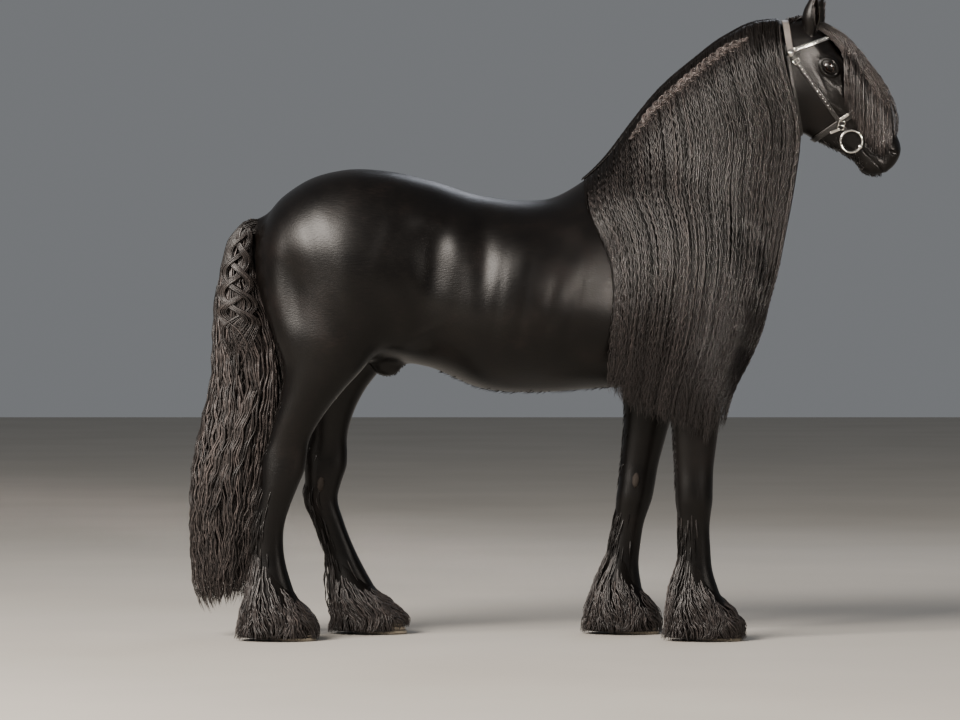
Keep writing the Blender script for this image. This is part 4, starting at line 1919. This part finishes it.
@dataclass
class Eye:
    """One eye: the wet ball in its socket, and the lids with their rims and folds."""

    side: Side
    radius: float = 0.032
    bulge: float = 0.0078
    opening: tuple[float, float] = (0.0215, 0.0132)
    away: float = 0.10
    lash: Strand = Strand(90, 6, 0.0012, 0.0006, 0.9)
    # The lids' section from the rim outwards: (distance from the opening's edge, height over ball
    # and skin)
    lid: tuple[tuple[float, float], ...] = (
        (-0.0012, -0.0040), (-0.0006, 0.0004), (0.0002, 0.0022), (0.0016, 0.0032), (0.0036, 0.0034),
                                            (0.0056, 0.0022),
        (0.0070, 0.0006), (0.0084, 0.0010), (0.0104, 0.0030), (0.0130, 0.0032), (0.0160, 0.0016),
                                            (0.0190, 0.0000),
        (0.0225, -0.0030), (0.0120, -0.0120), (0.0020, -0.0100),
    )

    def place(self) -> tuple[Array, Array]:
        """(middle of the ball, the way it looks)."""
        sign = self.side.value
        start = on_head(np.array(0.146), np.array(sign * 0.20), np.array(0.017))
        met = met_skin(start, -sign * SIDEWAYS, 0.18)
        look = unit(unit(slope_of(body_field, met)) + np.array([0.15, sign * 1.5, 0.0]))
        return met - look * (self.radius - self.bulge), look

    def axes(self, look: Array) -> tuple[Array, Array]:
        """(the way from the rear to the front corner, up)."""
        ahead = direction(HEAD_PITCH + math.radians(16))
        ahead = unit(ahead - look * ahead.dot(look))
        return ahead, unit(np.cross(look, ahead)) * self.side.value

    def ball(self) -> Piece:
        """The eyeball, with the angle from its gaze stored for the finish."""
        centre, look = self.place()
        shape = bmesh.new()
        bmesh.ops.create_uvsphere(shape, u_segments=48, v_segments=32, radius=self.radius,
                                  matrix=turned_to(look, centre))
        mesh = bpy.data.meshes.new("eyeball_" + self.side.word)
        shape.to_mesh(mesh)
        shape.free()
        mesh.shade_smooth()
        made = bpy.data.objects.new(mesh.name, mesh)
        bpy.context.scene.collection.objects.link(made)
        ahead, above = self.axes(look)
        offset = np.array([vertex.co for vertex in mesh.vertices]) - centre
        flat = np.stack([offset @ ahead * 0.75, offset @ above * 1.25], -1)
        front = offset @ look > 0
        give_values(made, "gaze", np.where(front, np.linalg.norm(flat, axis=1) / self.radius, 1.0))
        EYE.dress(made, "eye")
        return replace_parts(made, "eye_" + self.side.word)

    def lids(self) -> Piece:
        """Both lids as one soft frame round the opening, which meets the skin all round."""
        centre, look = self.place()
        ahead, above = self.axes(look)
        turn = full_turn(80)
        upper = np.sin(turn) > 0
        # An almond: round at the front corner, drawn out at the rear, the upper lid more arched
        wide = self.opening[0] * np.cos(turn) + 0.0010 * np.cos(turn) ** 3
        high = (self.opening[1] * np.sign(np.sin(turn)) * np.abs(np.sin(turn)) ** 1.25
                * np.where(upper, 1.04, 0.92))
        high = high + 0.0020 * np.cos(turn - 0.5) * np.abs(np.sin(turn))
        edge = np.stack([wide, high], -1)
        out = unit(np.stack([np.cos(turn), 1.4 * np.sin(turn)], -1))
        rings = []
        for reach, height in self.lid:
            fold = np.where(upper | (height < 0), 1.0, 0.75) * (1 + 0.25 * upper * (height > 0.002))
            flat = edge + out * reach
            start = centre + ahead * flat[:, :1] + above * flat[:, 1:] + look * self.away
            skin = self.away - skin_hit(start, -look, 0.14, 0.0, 60)
            ball_top = np.sqrt(np.maximum(self.radius**2 - (flat**2).sum(1), 1e-6))
            ball_top = np.where((flat**2).sum(1) < self.radius**2 * 0.8, ball_top, -1.0)
            surface = -joined(-skin, -ball_top, 0.003)
            rings.append(start + look * (surface + height * fold - self.away)[:, None])
        made = closed_rings("lids_" + self.side.word, np.array(rings), loop=True)
        return COAT.dress(made, "coat")

    def lashes(self) -> list[Piece]:
        """Lashes along the upper lid and long feelers above and below the eye."""
        rng = np.random.default_rng(71 + self.side.value)
        centre, look = self.place()
        ahead, above = self.axes(look)
        count, run = self.lash.count, self.lash.run[..., None]
        share = rng.uniform(-0.9, 0.9, count)
        rise = self.opening[1] * 1.1 * np.sqrt(1 - share**2)
        root = centre + ahead * (self.opening[0] * share)[:, None] + above * rise[:, None]
        root = root + look * np.sqrt(self.radius**2
                                     - ((root - centre) ** 2).sum(1))[:, None] + look * 0.0020
        long = rng.uniform(0.012, 0.020, count)[:, None, None]
        way = unit(look * 0.9 + above * 0.15 + ahead * 0.4 * share[:, None])
        path = root[:, None] + way[:, None] * (long * run) - above * (0.25 * long * run**2)
        roots = unwrapped(root, centre, look, (0.62, 0.02, 0.16, 0.2), 0.1)
        locks = self.lash.laid(rng, path, np.broadcast_to(above, path.shape), np.full(count, 0.1),
                               roots)
        return locks.build("lashes_" + self.side.word)

    def build(self) -> list[Piece]:
        """Make the eye and its lids."""
        return [self.ball(), self.lids()] + self.lashes()


@dataclass
class Chestnut:
    """The horny patch on the inner side of one leg, above the knee or below the hock."""

    leg: Leg
    long: float = 0.026
    half: float = 0.012
    thick: float = 0.0055

    def build(self) -> Piece:
        """Make the patch."""
        side = self.leg.side.value
        height = 0.545 if self.leg.name.startswith("fore") else 0.530
        row = curve_through(self.leg.rows, np.array(height))
        start = np.array([row[3] - 0.006, side * 0.02, height])
        met = met_skin(start, side * SIDEWAYS, 0.16, -COAT_DEPTH)
        out = unit(slope_of(body_field, met))
        up = np.array([0.12, 0.0, 1.0])
        up = unit(up - out * out.dot(up))
        across = np.cross(out, up)
        turn = full_turn(32)
        rings = []
        for share in (0.0, 0.25, 0.5, 0.7, 0.85, 0.95, 1.0):
            size = math.sqrt(1 - 0.97 * share**2)
            rough = 1 + 0.07 * np.sin(3 * turn + 9 * share) + 0.05 * np.sin(7 * turn - 5 * share)
            rings.append(met + up * (self.long * size * rough * np.sin(turn))[:, None]
                         + across * (self.half * size * rough * np.cos(turn))[:, None]
                         + out * (self.thick * share))
        made = closed_rings("chestnut_" + self.leg.name, np.array(rings))
        return CHESTNUT.dress(made, "horn")


@dataclass
class Hoof:
    """One hoof: a wall that widens to the ground, with growth rings and a rounded crown."""

    leg: Leg
    toe: float = 0.084
    heel: float = 0.062
    half: float = 0.068
    turns: int = 56

    def build(self) -> Piece:
        """Make the hoof."""
        around = full_turn(self.turns)
        crown = np.where(np.cos(around) > 0, self.toe * 0.64, self.heel * 0.92) * np.cos(around)
        ground = np.where(np.cos(around) > 0, self.toe, self.heel) * np.cos(around)
        side = self.half * np.sign(np.sin(around)) * np.abs(np.sin(around)) ** 0.85
        top = 0.066 + 0.32 * crown
        rings = []
        for share in (0.0, 0.0, 0.03, *np.linspace(0.08, 0.92, 26), 0.97, 1.0, 1.0):
            first, last = not rings, len(rings) == 31
            x = ground + (crown - ground) * share
            y = side * (1 - 0.14 * share)
            pull = 0.94 if first or last else 1.0
            ripple = 0.0006 * math.sin(share * 60) * (0.1 < share < 0.9)
            size = pull * (1 + ripple / self.toe * 6) * (0.992 if share in (0.0, 1.0) else 0.998)
            rings.append(np.stack([self.leg.hoof_x + x * size,
                                   self.leg.side.value * STANCE_HALF_WIDTH + y * size, top * share],
                                  -1))
        made = closed_rings("hoof_wall_" + self.leg.name, np.array(rings))
        HORN.dress(made, "horn")
        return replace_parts(made, "hoof_" + self.leg.name.replace("leg", ""))


@dataclass
class Bridle:
    """The presentation bridle: straps, a silver browband, buckles, studs and the snaffle."""

    lift: float = 0.0030
    section: tuple[tuple[float, float], ...] = (
        (-0.5, 0.20), (-0.47, 0.75), (-0.42, 0.95), (-0.25, 1.0), (0.25, 1.0), (0.42, 0.95),
                                                (0.47, 0.75), (0.5, 0.20),
        (0.46, 0.0), (-0.46, 0.0),
    )
    # The rosette's section: (radius, height)
    boss: tuple[tuple[float, float], ...] = (
        (0.0125, 0.0), (0.0135, 0.003), (0.0130, 0.0052), (0.0105, 0.0052), (0.0095, 0.0066),
                                             (0.0060, 0.0092),
        (0.0022, 0.0102),
    )

    def band(self, centre: Array, toward: Array, angles: Array, reach: float = 0.34) -> Array:
        """Points on the skin met from outside in the plane through centre."""
        turn = np.radians(angles)
        way = np.cos(turn)[:, None] * toward + np.sin(turn)[:, None] * SIDEWAYS
        start = centre + way * reach
        return met_skin(start, -way, reach, self.lift, 64)

    def strap(self, name: str, path: Array, width: float, thick: float,
              ring: bool = False) -> Piece:
        """A flat strap with rounded edges along a path on the skin."""
        return swept(name, path, unit(slope_of(body_field, path)), width, thick, self.section, ring)

    def cheek(self, side: Side) -> Array:
        """The cheekpiece's path from the browband to the bit ring."""
        share = np.linspace(0, 1, 48)
        along, up = 0.028 + (0.366 - 0.028) * share, -0.069 + (-0.056 + 0.069) * share
        lift = self.lift + 0.0040 * np.exp(-(((share - 0.88) / 0.08) ** 2))
        return met_skin(on_head(along, side.value * 0.24, up), -side.value * SIDEWAYS, 0.23, lift,
                        64)

    def studs(self, path: Array, spacing: float, radius: float, first: float,
              last: float) -> list[Piece]:
        """Small domed studs along a strap's middle."""
        length = lengths_along(path)
        places = np.arange(first * length[-1], last * length[-1], spacing)
        points = np.stack([np.interp(places, length, path[:, n]) for n in range(3)], -1)
        outward = unit(slope_of(body_field, points))
        made = []
        for point, out in zip(points, outward):
            bpy.ops.mesh.primitive_uv_sphere_add(segments=12, ring_count=8, radius=radius,
                                                 location=Vector(point + out * 0.0036))
            made.append(bpy.context.object)
        for stud in made:
            stud.data.transform(stud.matrix_world)
            stud.matrix_world = Matrix.Identity(4)
            stud.data.shade_smooth()
        return made

    def buckle(self, name: str, at: Array, along: Array, width: float) -> list[Piece]:
        """A rectangular buckle with its tongue, flat on the skin."""
        out = unit(slope_of(body_field, at))
        along = unit(along - out * along.dot(out))
        across = np.cross(out, along)
        turn = full_turn(32)
        square = [np.sign(axis) * np.abs(axis) ** 0.4 for axis in (np.cos(turn), np.sin(turn))]
        path = (at + out * 0.0062 + along * (square[0] * width * 0.42)[:, None]
                + across * (square[1] * width * 0.62)[:, None])
        frame = swept(name + "_frame", path, np.tile(out, (32, 1)), 0.0032, 0.0032, oval(8),
                      ring=True)
        tongue = np.array([at + out * 0.0066 - along * width * 0.42, at + out * 0.0078,
                           at + out * 0.0066 + along * width * 0.46])
        bar = swept(name + "_tongue", evenly(tongue[None], 8)[0], np.tile(out, (8, 1)), 0.0026,
                    0.0022, oval(8))
        return [frame, bar]

    def rosette(self, at: Array) -> Piece:
        """The domed boss where the browband meets the headpiece."""
        out = unit(slope_of(body_field, at))
        rings = []
        around = full_turn(40)
        for radius, height in self.boss:
            scallop = radius * (1 + 0.05 * np.cos(10 * around) * (radius > 0.0100))
            rings.append(np.stack([scallop * np.cos(around), scallop * np.sin(around),
                                   np.full(40, height)], -1))
        made = closed_rings("rosette", np.array(rings))
        made.data.transform(turned_to(out, at + out * 0.002))
        return made

    def keeper(self, beside: Array, pitch: float, side: Side) -> Piece:
        """A bright metal keeper that crosses the noseband, flat on the skin."""
        at = met_skin(beside, -side.value * SIDEWAYS, 0.19, 0.0085, 60)
        out = unit(slope_of(body_field, at))
        along = direction(HEAD_PITCH + math.radians(pitch))
        path = at + unit(along - out * along.dot(out)) * np.linspace(-0.019, 0.019, 9)[:, None]
        return swept("keeper", path, np.tile(out, (9, 1)), 0.0105, 0.0026, self.section)

    def bit(self, side: Side) -> Piece:
        """One loose ring with the end of the mouthpiece that it runs through."""
        sign = side.value
        start = on_head(np.array(0.402), np.array(sign * 0.20), np.array(-0.060))
        inward = -sign * SIDEWAYS
        skin = met_skin(start, inward, 0.19)
        outward = unit(sign * SIDEWAYS + 0.4 * unit(slope_of(body_field, skin)))
        bpy.ops.mesh.primitive_torus_add(major_segments=72, minor_segments=16, major_radius=0.038,
                                         minor_radius=0.0042)
        ring = bpy.context.object
        ring.data.transform(turned_to(outward, skin + outward * 0.013))
        corner = on_head(np.array(0.435), np.array(sign * 0.20), np.array(-0.046))
        corner = corner + inward * (skin_hit(corner, inward, 0.19) - 0.020)
        middle = corner + inward * 0.036
        path = evenly(np.array([[middle, corner]]), 12)[0]
        size = 0.0165 - 0.003 * np.cos(np.linspace(0, TURN, 12)) ** 8
        bar = swept("mouthpiece_" + side.word, path, np.tile([1.0, 0.0, 0.0], (12, 1)), size, size,
                    oval(20))
        return in_one("bit_ring_" + side.word, [ring, bar])

    def straps(self) -> list[Piece]:
        """Make the straps that go round the head."""
        middle = on_head(np.array(0.040), np.array(0.0), np.array(0.0))
        crown = self.band(np.array([0.858, 0, 2.050]), unit(np.array([-0.12, 0, 1.0])),
                          np.linspace(-103, 103, 90))
        throat = self.band(np.array([0.868, 0, 1.930]), unit(np.array([0.20, 0, -1.0])),
                           np.linspace(-147, 147, 110))
        brow = self.band(middle, unit(HEAD_ABOVE + 0.25 * HEAD_AHEAD), np.linspace(-118, 118, 90))
        middle = on_head(np.array(0.325), np.array(0.0), np.array(-0.03))
        nose = self.band(middle, HEAD_ABOVE, np.linspace(0, 360, 120, endpoint=False), 0.19)
        crown, throat, nose = (
            finish.dress(self.strap(name, path, width, thick, ring), "leather") for finish, name,
                               path, width, thick, ring in (
(PALE_LEATHER, "crown_strap", crown, 0.024, 0.0035, False),
(LEATHER, "throat_strap", throat, 0.013, 0.0035, False),
(LEATHER, "nose_strap", nose, 0.022, 0.0040, True)))
        studs = self.studs(brow, 0.0105, 0.0030, 0.04, 0.97)
        browband = in_one("brow_strap", [self.strap("brow_band", brow, 0.015, 0.0045), *studs])
        return [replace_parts(crown, "bridle_headpiece"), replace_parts(throat, "bridle_headpiece"),
                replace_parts(nose, "bridle_noseband"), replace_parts(SILVER.dress(browband, "silver"),
                                                                  "bridle_browband")]

    def one_side(self, side: Side) -> list[Piece]:
        """Make one side's cheekpiece, with its metal fittings and the bit.

        Args:
            side: Which side.

        Returns:
            The three pieces.
        """
        path = self.cheek(side)
        strap = LEATHER.dress(self.strap("cheek_strap_" + side.word, path, 0.015, 0.0035),
                              "leather")
        over = path[42] + 0.003 * unit(slope_of(body_field, path[42]))
        fittings = [
            *self.studs(path, 0.0155, 0.0026, 0.16, 0.74),
            self.rosette(path[0]),
            *self.buckle("nose_buckle", over + HEAD_AHEAD * 0.004,
                         path[44] - path[40] + 0.03 * HEAD_ABOVE, 0.026),
            *self.buckle("cheek_buckle", path[5], path[7] - path[3], 0.018),
            self.keeper(on_head(0.318, side.value * 0.2, -0.034), 92, side),
            self.keeper(on_head(0.340, side.value * 0.2, -0.088), 78, side),
        ]
        return [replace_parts(strap, "bridle_cheekpiece_" + side.word),
                SILVER.dress(in_one("fittings_" + side.word, fittings), "silver"),
                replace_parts(SILVER.dress(self.bit(side), "silver"), "bridle_bit_" + side.word)]

    def build(self) -> list[Piece]:
        """Make every strap and fitting."""
        return self.straps() + [piece for side in Side for piece in self.one_side(side)]


@dataclass(frozen=True)
class Lamp:
    """One soft light: its place, width and height, watts, colour, aim and beam in degrees."""

    name: str
    spot: tuple[float, float, float]
    size: tuple[float, float]
    power: float
    colour: str
    aim: tuple[float, float, float] = (0.0, 0.0, 1.15)
    spread: float = 180.0


@dataclass
class Studio:
    """The pale floor, the soft light and the camera at the photo's angle."""

    spot: tuple[float, float, float] = (-0.219, -16.0, 1.18)
    aim: tuple[float, float, float] = (-0.219, 0.0, 0.97)
    lens: float = 171.4
    floor_width: float = 60.0
    sky_colour: str = "#dfe3e8"
    sky_strength: float = 0.24
    lamps: tuple[Lamp, ...] = (
        Lamp("key", (-6.5, -7.0, 6.5), (6.0, 4.5), 3300, "#fff6ec"),
        Lamp("front", (6.0, -7.0, 3.5), (3.0, 3.0), 170, "#fff4e8"),
        Lamp("rim", (2.0, 5.5, 5.0), (4.0, 2.0), 90, "#eef3ff"),
        Lamp("head", (3.5, -6.0, 3.2), (2.0, 2.0), 13, "#fff4e8", (1.12, 0.0, 1.87), 10.0),
    )

    def build(self) -> None:
        """Make all of it."""
        self.floor()
        self.sky()
        for lamp in self.lamps:
            self.light(lamp)
        self.camera()

    def floor(self) -> None:
        """A wide plain floor."""
        bpy.ops.mesh.primitive_plane_add(size=self.floor_width)
        floor = bpy.context.object
        floor.name = "studio_floor"
        floor.data.materials.append(FLOOR.make())

    def sky(self) -> None:
        """An even, pale surround."""
        world = bpy.data.worlds.new("studio_sky")
        bpy.context.scene.world = world
        world.use_nodes = True
        ground = world.node_tree.nodes["Background"]
        ground.inputs["Color"].default_value = linear(self.sky_colour)
        ground.inputs["Strength"].default_value = self.sky_strength

    def stand(self, data: bpy.types.ID, spot: Sequence[float], aim: Sequence[float]) -> Piece:
        """Put up a light or the camera.

        Args:
            data: The light or camera.
            spot: Where it stands.
            aim: Where it looks.

        Returns:
            The object that holds it.
        """
        holder = bpy.data.objects.new(data.name, data)
        holder.location = spot
        holder.rotation_euler = (Vector(aim) - Vector(spot)).to_track_quat("-Z", "Y").to_euler()
        bpy.context.scene.collection.objects.link(holder)
        return holder

    def light(self, lamp: Lamp) -> None:
        """Put up one light.

        Args:
            lamp: Its place and settings.
        """
        light = bpy.data.lights.new(lamp.name, "AREA")
        light.shape = "RECTANGLE"
        light.size, light.size_y = lamp.size
        light.energy = lamp.power
        light.color = linear(lamp.colour)[:3]
        light.spread = math.radians(lamp.spread)
        self.stand(light, lamp.spot, lamp.aim)

    def camera(self) -> None:
        """The camera, level with the horse's back and a long way off."""
        camera = bpy.data.cameras.new("photo_view")
        camera.lens = self.lens
        bpy.context.scene.camera = self.stand(camera, self.spot, self.aim)


def main() -> None:
    """Build and dress the horse, class by class."""
    logging.basicConfig(level=logging.INFO, format="%(name)s %(message)s")
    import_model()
    ears = [Ear(Side.RIGHT, math.radians(13), (0.005, 0.023)),
            Ear(Side.LEFT, math.radians(20), (0.024, 0.030))]
    groups = [Skin(), *ears, *map(Eye, Side), *map(Hoof, LEGS), *map(Chestnut, LEGS), Bridle(),
              Mane(), Forelock(), Tail(),
              *map(Feather, LEGS), *FRINGES]
    for group in groups:
        made = group.build()
        for piece in made if isinstance(made, list) else [made]:
            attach(piece, BODY)
            LOG.info("%s: %d faces", piece.name, len(piece.data.polygons))
    Studio().build()


if __name__ == "__main__":
    main()
